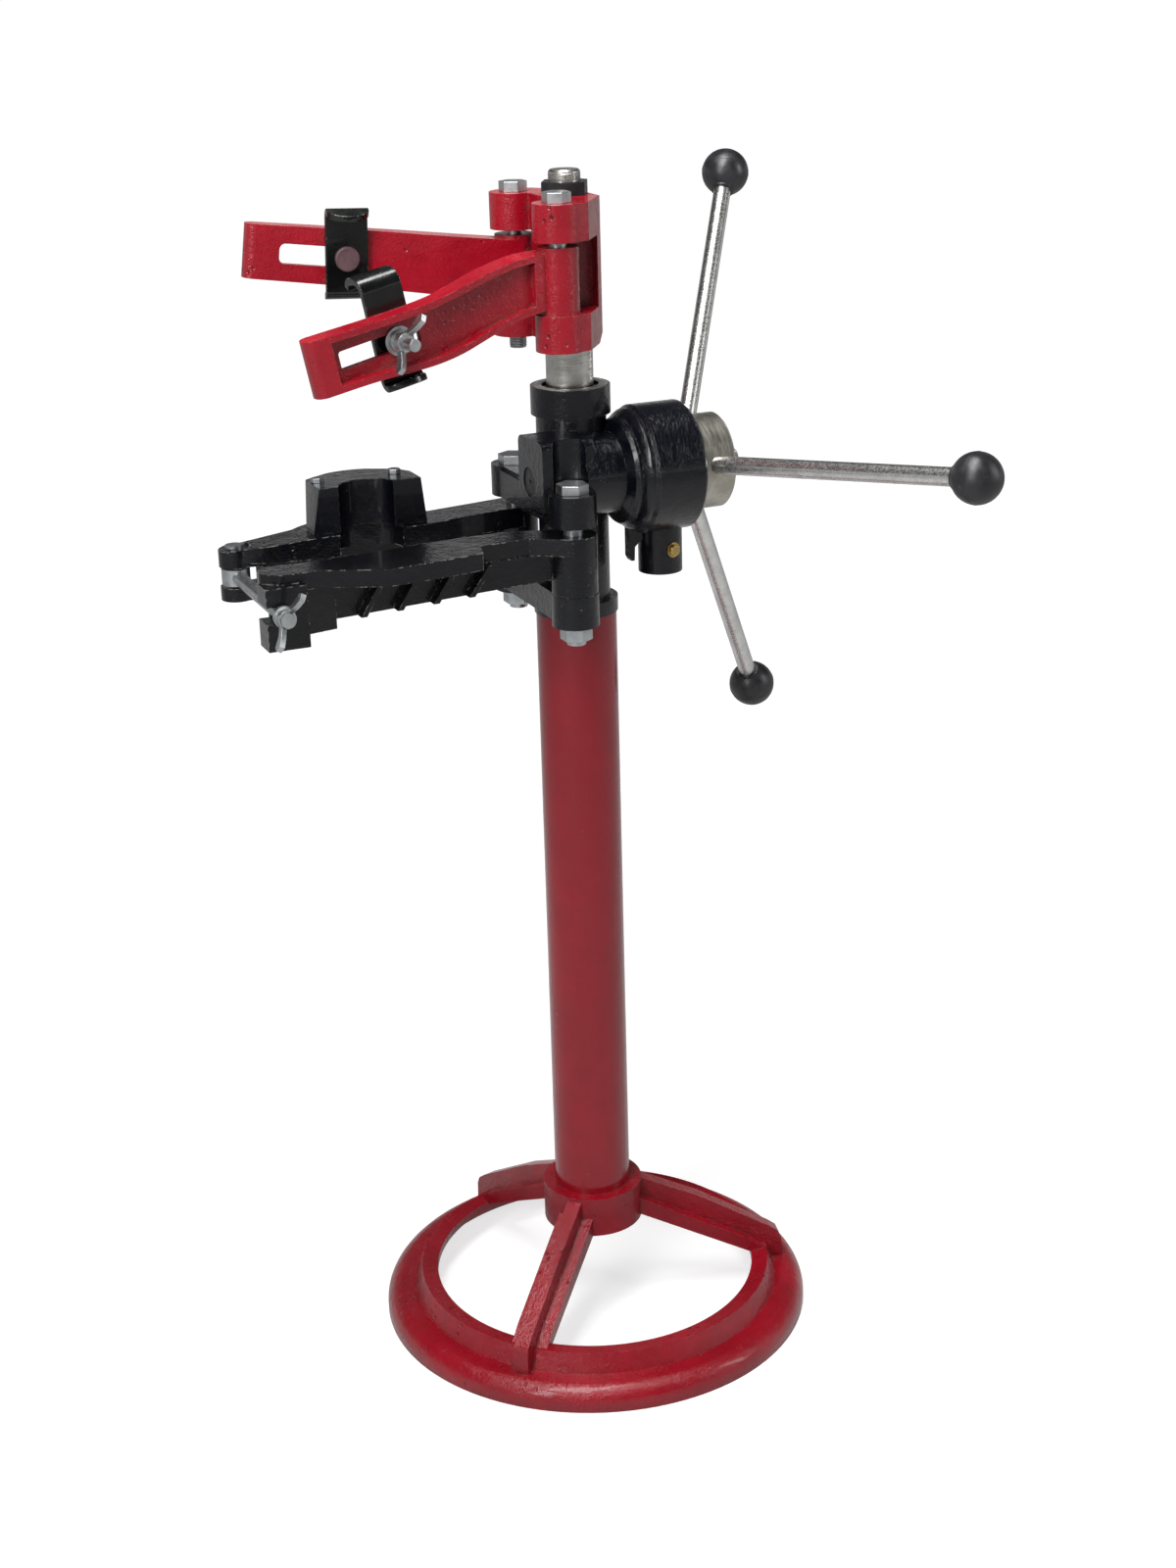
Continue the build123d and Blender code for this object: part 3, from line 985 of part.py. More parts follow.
finish(lower_arm_far.part, "lower_arm_far")

SADDLE_FRONT_LEAN = 7.0   # how far the end faces lean in towards the top
SADDLE_REAR_LEAN = 4.0
with BuildPart() as saddle_block:
    with BuildSketch(level(LOWER_TOP)) as saddle_plan:
        with BuildLine():
            Polyline((-86, SADDLE_MID_Y - 18), (-72, SADDLE_MID_Y - 40), (-52, SADDLE_FRONT_Y),
                     (SADDLE_FACE_X, SADDLE_FRONT_Y), (SADDLE_FACE_X, SADDLE_REAR_Y), (-50, SADDLE_REAR_Y),
                     (-72, SADDLE_MID_Y + 42), (-86, SADDLE_MID_Y + 18))
            ThreePointArc((-86, SADDLE_MID_Y + 18), (-89, SADDLE_MID_Y), (-86, SADDLE_MID_Y - 18))
        make_face()
    extrude(saddle_plan.sketch, amount=SADDLE_TOP - LOWER_TOP)
    block(side_on(0), [(SADDLE_FRONT_Y - 1, LOWER_TOP), (SADDLE_FRONT_Y, LOWER_TOP),
                       (SADDLE_FRONT_Y + SADDLE_FRONT_LEAN, SADDLE_TOP), (SADDLE_FRONT_Y - 1, SADDLE_TOP)],
          100, Mode.SUBTRACT, both=True)
    block(side_on(0), [(SADDLE_REAR_Y + 1, LOWER_TOP), (SADDLE_REAR_Y + 1, SADDLE_TOP),
                       (SADDLE_REAR_Y - SADDLE_REAR_LEAN, SADDLE_TOP), (SADDLE_REAR_Y, LOWER_TOP)],
          100, Mode.SUBTRACT, both=True)
    disc(level(LOWER_TOP - 1, GROOVE_X, SADDLE_MID_Y), GROOVE_R, 80, Mode.SUBTRACT)
    for x, y in SADDLE_BOLTS:
        disc(level(LOWER_TOP - 1, x, y), SADDLE_BOLT_R + FIT, 80, Mode.SUBTRACT)
finish(saddle_block.part, "saddle_block")

with BuildPart() as saddle_bolts:
    for x, y in SADDLE_BOLTS:
        bolt(level(SADDLE_TOP, x, y), SADDLE_BOLT_R, SADDLE_TOP - LOWER_TOP + SADDLE_BOLT_DEEP,
             SADDLE_BOLT_AF, SADDLE_HEAD_H)
finish(saddle_bolts.part, "saddle_bolts")

nut_face_x = CLAMP_FACE_X + NUT_SLACK
stud_end_x = nut_face_x + WING_HUB_H + SWING_STUD_PAST
swing_line = Plane(origin=(SWING_X, SWING_Y, SWING_Z), x_dir=(0, 0, 1), z_dir=(1, 0, 0))
with BuildPart() as swing_bolt:
    disc(level(SWING_Z - SWING_EYE_T / 2, SWING_X, SWING_Y), SWING_EYE_R, SWING_EYE_T)
    disc(swing_line, SWING_BOLT_R, stud_end_x - SWING_X)
    disc(level(SWING_Z - SWING_EYE_T / 2, SWING_X, SWING_Y), SWING_PIN_R + RUN, SWING_EYE_T, Mode.SUBTRACT)
finish(swing_bolt.part, "swing_bolt")

with BuildPart() as swing_pin:
    disc(level(LOWER_LUG_Z - 2, SWING_X, SWING_Y), SWING_PIN_R, LUG_FLAT_Z - LOWER_LUG_Z + 2)
    disc(level(LUG_FLAT_Z, SWING_X, SWING_Y), SWING_HEAD_R, 2.5)
finish(swing_pin.part, "swing_pin")

turn = math.radians(62)
swing_seat = Plane(origin=(nut_face_x, SWING_Y, SWING_Z), x_dir=(0, math.cos(turn), math.sin(turn)), z_dir=(1, 0, 0))
with BuildPart() as swing_wing_nut:
    wing_nut(swing_seat, SWING_BOLT_R + RUN)
finish(swing_wing_nut.part, "swing_wing_nut")
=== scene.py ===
"""Looks of a pedestal strut spring compressor: paint, metal finishes, rounded castings and stage."""
import json
import math

import bmesh
import bpy
from mathutils import Matrix, Vector


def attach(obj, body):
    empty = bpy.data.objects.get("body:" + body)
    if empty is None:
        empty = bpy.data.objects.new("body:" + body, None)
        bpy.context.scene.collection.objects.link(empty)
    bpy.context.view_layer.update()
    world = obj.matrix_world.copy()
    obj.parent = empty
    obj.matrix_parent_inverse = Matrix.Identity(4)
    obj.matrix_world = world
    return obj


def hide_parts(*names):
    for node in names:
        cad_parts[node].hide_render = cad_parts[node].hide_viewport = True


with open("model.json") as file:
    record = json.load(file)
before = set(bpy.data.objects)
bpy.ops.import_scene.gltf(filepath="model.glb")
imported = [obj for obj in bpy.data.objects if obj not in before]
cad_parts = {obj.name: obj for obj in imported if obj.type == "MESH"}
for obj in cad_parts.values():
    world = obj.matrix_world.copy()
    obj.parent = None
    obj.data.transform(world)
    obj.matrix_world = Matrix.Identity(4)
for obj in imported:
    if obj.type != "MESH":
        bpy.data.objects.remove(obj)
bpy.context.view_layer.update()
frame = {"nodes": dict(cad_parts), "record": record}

# ---------------------------------------------------------------- sizes, in metres
GEAR_AXIS = Vector((0.035, 0, 0.810))     # a point of the wheel's axis, which runs along Y
ROD_FIRST = 5.88                          # degrees from +X to the first handle rod
ROD_ROOT_R = 0.036                        # where a rod starts: its distance from the axis, and its y
ROD_ROOT_Y = 0.1014
KNOB_CIRCLE = 0.2727                      # knob centres: their distance from the axis, and their y
KNOB_Y = 0.2098
KNOB_R = 0.021
SEAM_PROUD = 0.00012                      # the moulding seam stands this far out of a knob
SEAM_ROOT = 0.0004                        # and starts this far under its surface
SEAM_HALF_WIDTHS = (0.0005, 0.0002)       # at its root and at its top

COLLAR_TOP = 0.881
COLLAR_FACE = (0.0242, 0.0318)            # inner and outer radius of the turned face
COLLAR_FACE_CHAMFER = 0.0004
COLLAR_FACE_HEIGHTS = (0.0001, 0.0005)

BAR_THREAD_R = 0.0132
BAR_THREAD_PITCH = 0.0020
BAR_NUT_TOP = 1.0497
BAR_TOP = 1.059
BAR_TOP_CHAMFER = 0.0012
FAR_BOLT_THREAD = Vector((-0.047, -0.027, 0.9190))    # where the far upper pivot bolt's thread starts
FAR_BOLT_THREAD_LENGTH = 0.0108
FAR_BOLT_THREAD_PITCH = 0.0016
SHAFT_THREAD_Y = 0.1330                   # where the wheel shaft's end thread starts
SHAFT_THREAD_LENGTH = 0.0046
SHAFT_THREAD_PITCH = 0.0012
M14_THREAD_R = 0.0070                     # thread radius of the pivot bolt and of the shaft's end

MERGE_WITHIN = 0.00002                    # corners of a CAD mesh this close are one
FLAT_WITHIN = math.radians(0.5)           # its triangles are joined where they lie this flat
SHARP_FROM = math.radians(33)             # and edges sharper than this are rounded
THREAD_STEPS = 28                         # steps in one turn of a thread
RING_STEPS = 96                           # and in a full turned ring

# ---------------------------------------------------------------- the stage, in metres
CAMERA_PLACE = Vector((1.86258, -0.78228, 1.27476))
CAMERA_AHEAD = Vector((-0.86964, 0.36896, -0.32802))
CAMERA_ROLL = 1.56                        # degrees
CAMERA_LENS = 55.437                      # millimetres, on a sensor 36 mm wide
CAMERA_SHIFT_Y = -0.03575
FLOOR_GREY = (0.42, 0.42, 0.42)           # what the floor scatters back on the object
FLOOR_IN_METAL = 0.3                      # share of the floor's white that metal and gloss show
JAW_HEIGHT = 0.9                          # what the lamps aim at, on the column's axis
CRANK_HEIGHT = 0.7


# ---------------------------------------------------------------- shader helpers
def add(tree, kind, inputs=(), **settings):
    """A node with its settings, and its inputs set to values or linked from sockets."""
    node = tree.nodes.new(kind)
    for key, value in settings.items():
        setattr(node, key, value)
    for key, value in dict(inputs).items():
        if isinstance(value, bpy.types.NodeSocket):
            tree.links.new(value, node.inputs[key])
        else:
            node.inputs[key].default_value = value
    return node


def new_group(name, inputs, outputs):
    """An empty shader group with named sockets, and its two end nodes."""
    group = bpy.data.node_groups.new(name, "ShaderNodeTree")
    for label, kind, value in inputs:
        socket = group.interface.new_socket(label, in_out="INPUT", socket_type=kind)
        socket.default_value = value
    for label, kind in outputs:
        group.interface.new_socket(label, in_out="OUTPUT", socket_type=kind)
    given = group.nodes.new("NodeGroupInput").outputs
    out = group.nodes.new("NodeGroupOutput").inputs
    return group, given, out


def math_node(tree, operation, first, second):
    return add(tree, "ShaderNodeMath", {0: first, 1: second}, operation=operation).outputs[0]


def times(tree, first, second):
    return math_node(tree, "MULTIPLY", first, second)


def larger(tree, first, second):
    return math_node(tree, "MAXIMUM", first, second)


def ramp(tree, value, low, high, to_low=0.0, to_high=1.0):
    """A value stretched from low..high to to_low..to_high, with soft ends."""
    reach = {"Value": value, "From Min": low, "From Max": high, "To Min": to_low, "To Max": to_high}
    return add(tree, "ShaderNodeMapRange", reach, interpolation_type="SMOOTHSTEP").outputs["Result"]


def noise(tree, place, scale, detail=2.0, roughness=0.5):
    pattern = {"Vector": place, "Scale": scale, "Detail": detail, "Roughness": roughness}
    return add(tree, "ShaderNodeTexNoise", pattern).outputs["Fac"]


def mix_value(tree, factor, first, second):
    mixed = {0: factor, 2: first, 3: second}
    return add(tree, "ShaderNodeMix", mixed, data_type="FLOAT").outputs[0]


def mix_colour(tree, factor, first, second):
    """A mix of two colours, each a socket or three numbers."""
    node = add(tree, "ShaderNodeMix", data_type="RGBA")
    sockets = (node.inputs["Factor"], node.inputs[6], node.inputs[7])
    for socket, value in zip(sockets, (factor, first, second)):
        if isinstance(value, bpy.types.NodeSocket):
            tree.links.new(value, socket)
        else:
            socket.default_value = (*value, 1)
    return node.outputs[2]


def object_place(tree):
    return add(tree, "ShaderNodeTexCoord").outputs["Object"]


def stretched(tree, place, stretch):
    """A place drawn out along the axes whose stretch is small."""
    return add(tree, "ShaderNodeVectorMath", {0: place, 1: stretch}, operation="MULTIPLY").outputs[0]


def raise_surface(tree, surface, height, strength, depth):
    """Bumps of a depth in metres on a Principled surface."""
    bump = add(tree, "ShaderNodeBump", {"Height": height, "Strength": strength, "Distance": depth})
    tree.links.new(bump.outputs["Normal"], surface["Normal"])


# ---------------------------------------------------------------- shared effects
def make_cast_skin():
    """Sand-cast surface under thick paint: broad lumps, grain and a few pits."""
    group, given, out = new_group(
        "cast_skin",
        [("Grain", "NodeSocketFloat", 420.0), ("Lumps", "NodeSocketFloat", 90.0),
         ("Pits", "NodeSocketFloat", 0.5)],
        [("Height", "NodeSocketFloat"), ("Pit", "NodeSocketFloat")])
    place = object_place(group)
    grain = noise(group, place, given["Grain"], detail=3.0, roughness=0.55)
    lumps = noise(group, place, given["Lumps"])
    cells = add(group, "ShaderNodeTexVoronoi", {"Vector": place, "Scale": given["Lumps"]})
    hollow = ramp(group, cells.outputs["Distance"], 0.26, 0.12)
    patches = ramp(group, noise(group, place, 23.0), 0.52, 0.7)
    pit = times(group, hollow, times(group, patches, given["Pits"]))
    height = math_node(group, "ADD", times(group, grain, 0.45), times(group, lumps, 0.6))
    group.links.new(math_node(group, "SUBTRACT", height, pit), out["Height"])
    group.links.new(pit, out["Pit"])
    return group


def make_edge_wear_and_highlight():
    """Mask of worn edges, which also paints a highlight along them: where the rounded normal leaves the true
    one, broken up by noise.
    """
    group, given, out = new_group(
        "edge_wear_and_highlight",
        [("Width", "NodeSocketFloat", 0.0015), ("Break Up", "NodeSocketFloat", 0.5)],
        [("Mask", "NodeSocketFloat")])
    rounded_normal = add(group, "ShaderNodeBevel", {"Radius": given["Width"]}, samples=4).outputs["Normal"]
    true_normal = add(group, "ShaderNodeNewGeometry").outputs["Normal"]
    match = add(group, "ShaderNodeVectorMath", {0: rounded_normal, 1: true_normal},
                operation="DOT_PRODUCT").outputs["Value"]
    edge = ramp(group, match, 0.985, 0.86)
    patch = noise(group, object_place(group), 160.0, detail=4.0, roughness=0.7)
    kept = ramp(group, patch, given["Break Up"], math_node(group, "ADD", given["Break Up"], 0.08))
    group.links.new(times(group, edge, kept), out["Mask"])
    return group


def make_dirt_and_shade_in_recesses():
    """Mask of dust and dirt on level faces, and of dirt with painted shade in inner corners, where the
    surface is enclosed.
    """
    group, given, out = new_group(
        "dirt_and_shade_in_recesses",
        [("Reach", "NodeSocketFloat", 0.012), ("Corners", "NodeSocketFloat", 0.8),
         ("Level Faces", "NodeSocketFloat", 0.2)],
        [("Mask", "NodeSocketFloat")])
    place = object_place(group)
    openness = add(group, "ShaderNodeAmbientOcclusion", {"Distance": given["Reach"]}, samples=6).outputs["AO"]
    corner = ramp(group, openness, 0.75, 0.35)
    breakup = ramp(group, noise(group, place, 75.0, detail=4.0, roughness=0.65), 0.38, 0.68)
    corners = times(group, times(group, corner, breakup), given["Corners"])
    normal = add(group, "ShaderNodeNewGeometry").outputs["Normal"]
    upward = add(group, "ShaderNodeSeparateXYZ", {0: normal}).outputs["Z"]
    film = times(group, ramp(group, upward, 0.4, 0.95),
                 ramp(group, noise(group, place, 38.0, detail=5.0, roughness=0.7), 0.4, 0.75))
    levels = times(group, film, given["Level Faces"])
    both = add(group, "ShaderNodeMath", {0: corners, 1: levels}, operation="ADD", use_clamp=True)
    group.links.new(both.outputs[0], out["Mask"])
    return group


def make_scuffs():
    """Mask of dull scuffs and fine scratches running roughly one way, in patches."""
    group, given, out = new_group(
        "scuffs",
        [("Stretch", "NodeSocketVector", (1.0, 1.0, 1.0)), ("Amount", "NodeSocketFloat", 0.5)],
        [("Mask", "NodeSocketFloat")])
    place = object_place(group)
    streaked = stretched(group, place, given["Stretch"])
    lines = ramp(group, noise(group, streaked, 260.0, detail=5.0, roughness=0.75), 0.6, 0.72)
    patches = ramp(group, noise(group, place, 17.0, detail=3.0, roughness=0.6), 0.5, 0.68)
    group.links.new(times(group, times(group, lines, patches), given["Amount"]), out["Mask"])
    return group


def make_tool_marks():
    """Fine even marks that turning, drawing or brushing leaves, as a height and a mask."""
    group, given, out = new_group(
        "tool_marks",
        [("Stretch", "NodeSocketVector", (1.0, 1.0, 1.0)), ("Fineness", "NodeSocketFloat", 900.0)],
        [("Height", "NodeSocketFloat"), ("Mask", "NodeSocketFloat")])
    place = stretched(group, object_place(group), given["Stretch"])
    marks = noise(group, place, given["Fineness"], detail=3.0, roughness=0.6)
    group.links.new(marks, out["Height"])
    group.links.new(ramp(group, marks, 0.35, 0.65), out["Mask"])
    return group


CAST_SKIN = make_cast_skin()
EDGE_WEAR_AND_HIGHLIGHT = make_edge_wear_and_highlight()
DIRT_AND_SHADE_IN_RECESSES = make_dirt_and_shade_in_recesses()
SCUFFS = make_scuffs()
TOOL_MARKS = make_tool_marks()


def place_group(tree, group, **values):
    """One use of a shared effect, with its inputs set by name (underscores stand for spaces)."""
    node = tree.nodes.new("ShaderNodeGroup")
    node.node_tree = group
    for key, value in values.items():
        node.inputs[key.replace("_", " ")].default_value = value
    return node.outputs


def blank(name):
    """A material with one Principled surface, its node tree and that node's inputs."""
    material = bpy.data.materials.new(name)
    material.use_nodes = True
    tree = material.node_tree
    return material, tree, tree.nodes["Principled BSDF"].inputs


# ---------------------------------------------------------------- finishes
def paint(name, *, deep, light, dirt, rub, roughness, grain, lumps, depth, corners, levels, rubbed_and_highlighted,
          scuffed, pits, shine, coat):
    """Gloss paint over a casting.

    The colour drifts from deep to light. The dirt colour lies in scuffs and on levels as dirt, and in corners
    as dirt and painted shade. The rub colour paints worn edges together with a painted highlight along them,
    and pits are darkened as painted shade. Grain and lumps are scales of the cast skin, and depth is its
    height.
    """
    material, tree, surface = blank(name)
    place = object_place(tree)
    skin = place_group(tree, CAST_SKIN, Grain=grain, Lumps=lumps, Pits=pits)
    scuff = place_group(tree, SCUFFS, Stretch=(0.35, 1.0, 0.6), Amount=scuffed)["Mask"]
    soil_and_shade = place_group(tree, DIRT_AND_SHADE_IN_RECESSES, Corners=corners, Level_Faces=levels)["Mask"]
    worn_and_highlighted = times(tree, place_group(tree, EDGE_WEAR_AND_HIGHLIGHT)["Mask"], rubbed_and_highlighted)

    drift = ramp(tree, noise(tree, place, 14.0, detail=3.0, roughness=0.6), 0.35, 0.7)
    colour = mix_colour(tree, drift, deep, light)
    colour = mix_colour(tree, scuff, colour, dirt)
    # Dirt on level faces, and dirt with painted shade in inner corners
    colour = mix_colour(tree, soil_and_shade, colour, dirt)
    # Worn edges in the rub colour, which is also a painted highlight along them
    colour = mix_colour(tree, worn_and_highlighted, colour, rub)
    # Pits darkened to a quarter of the deep colour, as painted shade in them
    colour = mix_colour(tree, skin["Pit"], colour, [part * 0.25 for part in deep])
    tree.links.new(colour, surface["Base Color"])

    dulled = larger(tree, larger(tree, soil_and_shade, worn_and_highlighted), scuff)
    uneven = ramp(tree, noise(tree, place, 55.0, detail=3.0), 0.3, 0.75, roughness * 0.8, roughness * 1.35)
    tree.links.new(mix_value(tree, dulled, uneven, 0.75), surface["Roughness"])
    clean = math_node(tree, "SUBTRACT", 1.0, dulled)
    tree.links.new(times(tree, clean, coat), surface["Coat Weight"])
    surface["Coat Roughness"].default_value = 0.07
    surface["Specular IOR Level"].default_value = shine
    raise_surface(tree, surface, skin["Height"], 0.9, depth)
    return material


def metal(name, *, bright, dull, roughness, stretch=(1, 1, 1), fineness, depth=0.00004,
          stain_and_shade=(0.08, 0.07, 0.05), stain_and_shade_amount=0.3, scratch=(1, 1, 1), scratched=0.3, metallic=1.0):
    """Bare or plated metal: tool marks, uneven tone, stains and scratches; the stain colour in inner corners
    is also painted shade.

    Stretch draws out the tool marks and scratch the scratches, along the axes where they are small.
    """
    material, tree, surface = blank(name)
    place = object_place(tree)
    marks = place_group(tree, TOOL_MARKS, Stretch=stretch, Fineness=fineness)
    scuff = place_group(tree, SCUFFS, Stretch=scratch, Amount=scratched)["Mask"]
    soil_and_shade = place_group(tree, DIRT_AND_SHADE_IN_RECESSES, Reach=0.004, Corners=stain_and_shade_amount, Level_Faces=stain_and_shade_amount * 0.3)["Mask"]

    tone = ramp(tree, noise(tree, place, 60.0, detail=4.0, roughness=0.65), 0.35, 0.68)
    colour = mix_colour(tree, tone, bright, dull)
    colour = mix_colour(tree, scuff, colour, stain_and_shade)
    # Stain on level faces, and stain with painted shade in inner corners
    colour = mix_colour(tree, soil_and_shade, colour, stain_and_shade)
    tree.links.new(colour, surface["Base Color"])
    surface["Metallic"].default_value = metallic

    tooled = ramp(tree, marks["Mask"], 0.0, 1.0, roughness * 0.85, roughness * 1.2)
    dulled = times(tree, larger(tree, soil_and_shade, scuff), 0.3)
    tree.links.new(math_node(tree, "ADD", tooled, dulled), surface["Roughness"])
    raise_surface(tree, surface, marks["Height"], 0.8, depth)
    return material


def knob_plastic():
    """Satin black moulded plastic with faint mottling and a few fine scratches."""
    material, tree, surface = blank("knob_plastic")
    place = object_place(tree)
    mottle = ramp(tree, noise(tree, place, 90.0, detail=4.0, roughness=0.6), 0.3, 0.7)
    colour = mix_colour(tree, mottle, (0.010, 0.010, 0.012), (0.020, 0.020, 0.023))
    scuff = place_group(tree, SCUFFS, Stretch=(1.0, 0.3, 0.5), Amount=0.5)["Mask"]
    colour = mix_colour(tree, scuff, colour, (0.09, 0.09, 0.09))
    tree.links.new(colour, surface["Base Color"])
    tree.links.new(ramp(tree, mottle, 0.0, 1.0, 0.34, 0.46), surface["Roughness"])
    raise_surface(tree, surface, noise(tree, place, 1500.0), 0.4, 0.00006)
    return material


# Each dirt colour is also the painted shade in inner corners
# Each rub colour is also a painted highlight along worn edges
RED_CAST = paint(
    "red_cast_paint", deep=(0.225, 0.002, 0.009), light=(0.295, 0.004, 0.014), dirt=(0.060, 0.017, 0.012),
    rub=(0.42, 0.07, 0.08), roughness=0.19, grain=620.0, lumps=130.0, depth=0.0016, corners=0.95,
    levels=0.12, rubbed_and_highlighted=0.4, scuffed=0.3, pits=0.9, shine=0.42, coat=0.18)
RED_TUBE = paint(
    "red_tube_paint", deep=(0.240, 0.002, 0.009), light=(0.285, 0.003, 0.012), dirt=(0.34, 0.06, 0.07),
    rub=(0.46, 0.12, 0.12), roughness=0.18, grain=200.0, lumps=16.0, depth=0.0002, corners=0.3,
    levels=0.0, rubbed_and_highlighted=0.2, scuffed=0.5, pits=0.1, shine=0.30, coat=0.35)
RED_ARM = paint(
    "red_arm_paint", deep=(0.270, 0.002, 0.011), light=(0.345, 0.005, 0.016), dirt=(0.11, 0.055, 0.045),
    rub=(0.50, 0.13, 0.13), roughness=0.20, grain=560.0, lumps=120.0, depth=0.0012, corners=0.95,
    levels=0.12, rubbed_and_highlighted=0.5, scuffed=1.0, pits=0.9, shine=0.40, coat=0.25)
BLACK_CAST = paint(
    "black_cast_paint", deep=(0.0012, 0.0014, 0.0032), light=(0.003, 0.0034, 0.0062),
    dirt=(0.040, 0.039, 0.033), rub=(0.13, 0.13, 0.12), roughness=0.13, grain=560.0, lumps=120.0,
    depth=0.0014, corners=0.2, levels=0.04, rubbed_and_highlighted=0.4, scuffed=0.15, pits=0.8, shine=0.26, coat=0.35)
BLACK_ARM = paint(
    "black_arm_paint", deep=(0.0014, 0.0016, 0.0030), light=(0.0035, 0.0038, 0.0058),
    dirt=(0.045, 0.044, 0.037), rub=(0.30, 0.29, 0.25), roughness=0.14, grain=560.0, lumps=120.0,
    depth=0.0014, corners=0.2, levels=0.06, rubbed_and_highlighted=0.9, scuffed=0.2, pits=0.8, shine=0.26, coat=0.30)
BLACK_HOOK = paint(
    "black_hook_paint", deep=(0.002, 0.0022, 0.0025), light=(0.005, 0.006, 0.006),
    dirt=(0.05, 0.055, 0.045), rub=(0.24, 0.23, 0.20), roughness=0.20, grain=400.0, lumps=60.0,
    depth=0.0004, corners=0.15, levels=0.25, rubbed_and_highlighted=0.9, scuffed=0.3, pits=0.2, shine=0.35, coat=0.3)
# Each stain colour is also the painted shade in inner corners
ZINC = metal(
    "zinc_plate", bright=(0.50, 0.52, 0.53), dull=(0.36, 0.38, 0.40), roughness=0.36, fineness=420.0,
    depth=0.00002, stain_and_shade=(0.22, 0.19, 0.10), stain_and_shade_amount=0.7, scratched=0.15)
BAR_STEEL = metal(
    "bar_steel", bright=(0.56, 0.55, 0.52), dull=(0.40, 0.39, 0.36), roughness=0.28,
    stretch=(0.06, 0.06, 1.0), fineness=900.0, depth=0.00003, stain_and_shade=(0.16, 0.15, 0.13), stain_and_shade_amount=0.7,
    scratch=(0.5, 0.5, 0.12), scratched=0.5)
COLLAR_STEEL = metal(
    "collar_steel", bright=(0.62, 0.62, 0.61), dull=(0.45, 0.45, 0.44), roughness=0.45, fineness=600.0,
    stain_and_shade=(0.03, 0.03, 0.03), stain_and_shade_amount=0.8)
GEAR_STEEL = metal(
    "gear_steel", bright=(0.42, 0.41, 0.39), dull=(0.30, 0.29, 0.27), roughness=0.36,
    stretch=(1.0, 0.1, 1.0), fineness=700.0)
NICKEL = metal(
    "satin_nickel", bright=(0.45, 0.43, 0.38), dull=(0.33, 0.31, 0.27), roughness=0.34,
    stretch=(0.05, 1.0, 0.05), fineness=1100.0, depth=0.00003, stain_and_shade=(0.12, 0.10, 0.07), stain_and_shade_amount=0.5,
    scratched=0.35)
ROD_PLATE = metal(
    "rod_plating", bright=(0.66, 0.66, 0.65), dull=(0.54, 0.54, 0.53), roughness=0.30, fineness=500.0,
    depth=0.00001, stain_and_shade=(0.20, 0.17, 0.13), stain_and_shade_amount=0.4, scratch=(0.25, 0.7, 0.25), scratched=0.25)
BRASS = metal(
    "brass", bright=(0.58, 0.42, 0.17), dull=(0.40, 0.28, 0.10), roughness=0.30, fineness=700.0,
    stain_and_shade=(0.10, 0.06, 0.02))
BLACK_OXIDE = metal(
    "black_oxide", bright=(0.045, 0.045, 0.05), dull=(0.02, 0.02, 0.022), roughness=0.38, fineness=500.0,
    stain_and_shade=(0.12, 0.08, 0.05), metallic=0.7)
PAINTED_HEAD = metal(
    "painted_head", bright=(0.15, 0.085, 0.095), dull=(0.09, 0.05, 0.06), roughness=0.5, fineness=300.0,
    depth=0.0002, stain_and_shade=(0.05, 0.03, 0.03), stain_and_shade_amount=0.8, scratched=0.8, metallic=0.25)
KNOB_PLASTIC = knob_plastic()

FINISH_OF_SLOT = {
    "machined_steel": GEAR_STEEL, "zinc_plate": ZINC, "nickel_hub": NICKEL, "plated_rod": ROD_PLATE,
    "brass": BRASS, "black_plastic": KNOB_PLASTIC, "black_oxide": BLACK_OXIDE,
    "painted_head": PAINTED_HEAD, "red_paint": RED_CAST, "black_paint": BLACK_CAST}


# ---------------------------------------------------------------- pieces
def object_from(name, bm, material):
    """An object at the origin made from a bmesh, which is freed."""
    mesh = bpy.data.meshes.new(name)
    bm.to_mesh(mesh)
    bm.free()
    mesh.materials.append(material)
    made = bpy.data.objects.new(name, mesh)
    bpy.context.scene.collection.objects.link(made)
    return made


def new_piece(name, bm, body, material):
    """Closes a new piece made in a bmesh, and lets it ride on a body."""
    bmesh.ops.remove_doubles(bm, verts=bm.verts, dist=1e-7)
    bmesh.ops.recalc_face_normals(bm, faces=bm.faces)
    piece = object_from(name, bm, material)
    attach(piece, body)


def body_of_node(node):
    bodies = frame["record"]["behaviour"]["bodies"]
    return next(name for name, nodes in bodies.items() if node in nodes)


def rounded(node, material, edge):
    """A merged copy of a CAD node with its sharp edges rounded. It stands for the node."""
    bm = bmesh.new()
    bm.from_mesh(frame["nodes"][node].data)
    bmesh.ops.remove_doubles(bm, verts=bm.verts, dist=MERGE_WITHIN)
    bmesh.ops.dissolve_limit(bm, angle_limit=FLAT_WITHIN, verts=bm.verts, edges=bm.edges)
    for face in bm.faces:
        face.smooth = True
        face.material_index = 0
    piece = object_from(node + "_finished", bm, material)
    round_over = piece.modifiers.new("round_over", "BEVEL")
    round_over.width = edge
    round_over.segments = 2
    round_over.limit_method = "ANGLE"
    round_over.angle_limit = SHARP_FROM
    round_over.use_clamp_overlap = True
    even = piece.modifiers.new("even_shading", "WEIGHTED_NORMAL")
    even.mode = "FACE_AREA_WITH_ANGLE"
    even.weight = 90
    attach(piece, body_of_node(node))
    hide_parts(node)


def frame_along(origin, axis):
    """A matrix that puts local +Z along an axis at an origin."""
    return Matrix.Translation(origin) @ Vector(axis).to_track_quat("Z", "Y").to_matrix().to_4x4()


